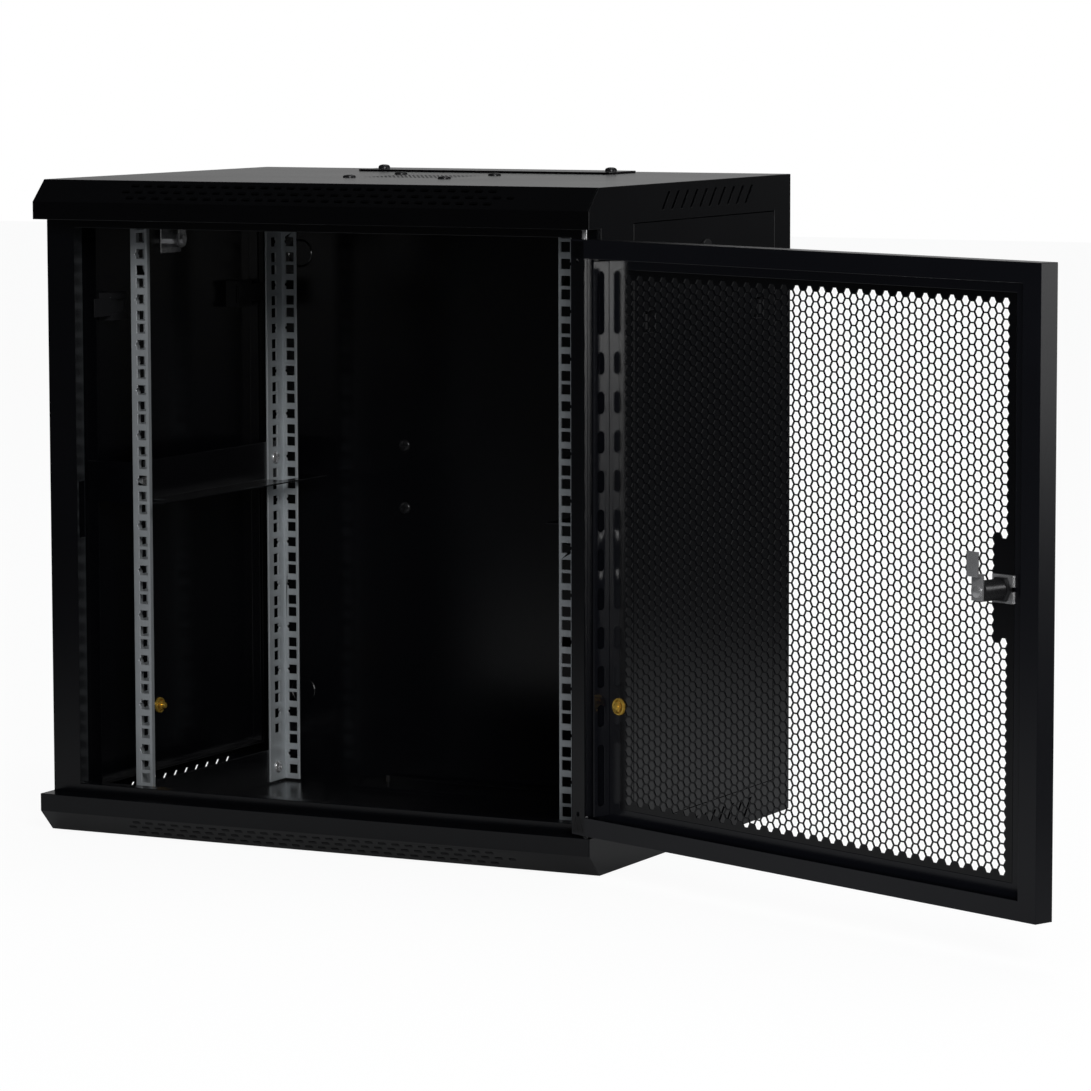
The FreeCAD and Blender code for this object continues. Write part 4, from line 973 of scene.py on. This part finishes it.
def make_studio():
    world = bpy.data.worlds.new("studio")
    bpy.context.scene.world = world
    world.use_nodes = True
    tree = world.node_tree
    plain = tree.nodes["Background"]
    plain.inputs["Color"].default_value = ROOM_COLOUR
    plain.inputs["Strength"].default_value = ROOM_STRENGTH
    white = tree.nodes.new("ShaderNodeBackground")
    white.inputs["Color"].default_value = WHITE
    glossy = switched(tree, "Is Glossy Ray", plain.outputs[0], backdrop_glow(tree))
    seen = switched(tree, "Is Camera Ray", glossy, white.outputs[0])
    tree.links.new(seen, tree.nodes["World Output"].inputs[0])
    for name, values in LAMPS.items():
        lamp = softbox(name, *values)
        if name in FLAGS:
            flag_lamp(lamp, *FLAGS[name])


FLOOR_SIZE = 12.0
FLOOR_DROP = 1 * MM
FLOOR_COLOUR = (0.75, 0.75, 0.75, 1)
FLOOR_ROUGHNESS = 0.9
FLOOR_GLOW, FLOOR_GLOW_SHARE = 1.06, 0.88
FLOOR_FADE = (0.4, 1.8)
FLOOR_TONES = (0.6, 0.08)


def make_floor():
    """A pale floor with a soft shadow for the camera, and a dim one, darker further out, for other rays."""
    bm = bmesh.new()
    bmesh.ops.create_grid(bm, x_segments=1, y_segments=1, size=FLOOR_SIZE)
    made = bpy.data.meshes.new("floor")
    bm.to_mesh(made)
    bm.free()
    floor = bpy.data.objects.new("floor", made)
    floor.location.z = -FLOOR_DROP
    bpy.context.scene.collection.objects.link(floor)
    material = bpy.data.materials.new("pale_floor")
    material.use_nodes = True
    tree = material.node_tree
    plain = tree.nodes["Principled BSDF"]
    plain.inputs["Base Color"].default_value = FLOOR_COLOUR
    plain.inputs["Roughness"].default_value = FLOOR_ROUGHNESS
    white = tree.nodes.new("ShaderNodeEmission")
    white.inputs["Color"].default_value = WHITE
    white.inputs["Strength"].default_value = FLOOR_GLOW
    pale = tree.nodes.new("ShaderNodeMixShader")
    pale.inputs[0].default_value = FLOOR_GLOW_SHARE
    tree.links.new(plain.outputs[0], pale.inputs[1])
    tree.links.new(white.outputs[0], pale.inputs[2])
    far = tree.nodes.new("ShaderNodeVectorMath")
    far.operation = "LENGTH"
    tree.links.new(tree.nodes.new("ShaderNodeTexCoord").outputs["Object"], far.inputs[0])
    fade = tree.nodes.new("ShaderNodeMapRange")
    for socket, value in zip(fade.inputs[1:5], (*FLOOR_FADE, *FLOOR_TONES)):
        socket.default_value = value
    tree.links.new(far.outputs["Value"], fade.inputs[0])
    dim = tree.nodes.new("ShaderNodeBsdfDiffuse")
    tree.links.new(fade.outputs[0], dim.inputs["Color"])
    seen = switched(tree, "Is Camera Ray", dim.outputs[0], pale.outputs[0])
    tree.links.new(seen, tree.nodes["Material Output"].inputs[0])
    made.materials.append(material)


paint_nodes()
make_covers()
for node, face_at_low_y in (("left_front_rail", True), ("right_front_rail", True),
                            ("left_rear_rail", False), ("right_rear_rail", False)):
    make_rail(node, face_at_low_y)
make_door_sheet()
make_hinge_lip()
for node, axis in (("wall_bracket_screws", 1), ("fan_screws", 2), ("roof_cover_screws", 2),
                   ("floor_cover_screws", 2), ("rail_screws", 0)):
    make_screws(node, axis)
make_studs()
make_door_lock()
rounded_lever("door_lever", 1, DOOR_CLOSES, DOOR_OPENS)
make_back_panel()
for side, sign in (("left", -1), ("right", 1)):
    make_panel_lock(side, sign)
    rounded_lever(f"{side}_panel_lever", 0, UNTURNED, UNTURNED)
make_camera()
make_studio()
make_floor()
bpy.context.scene.view_settings.view_transform = "Standard"
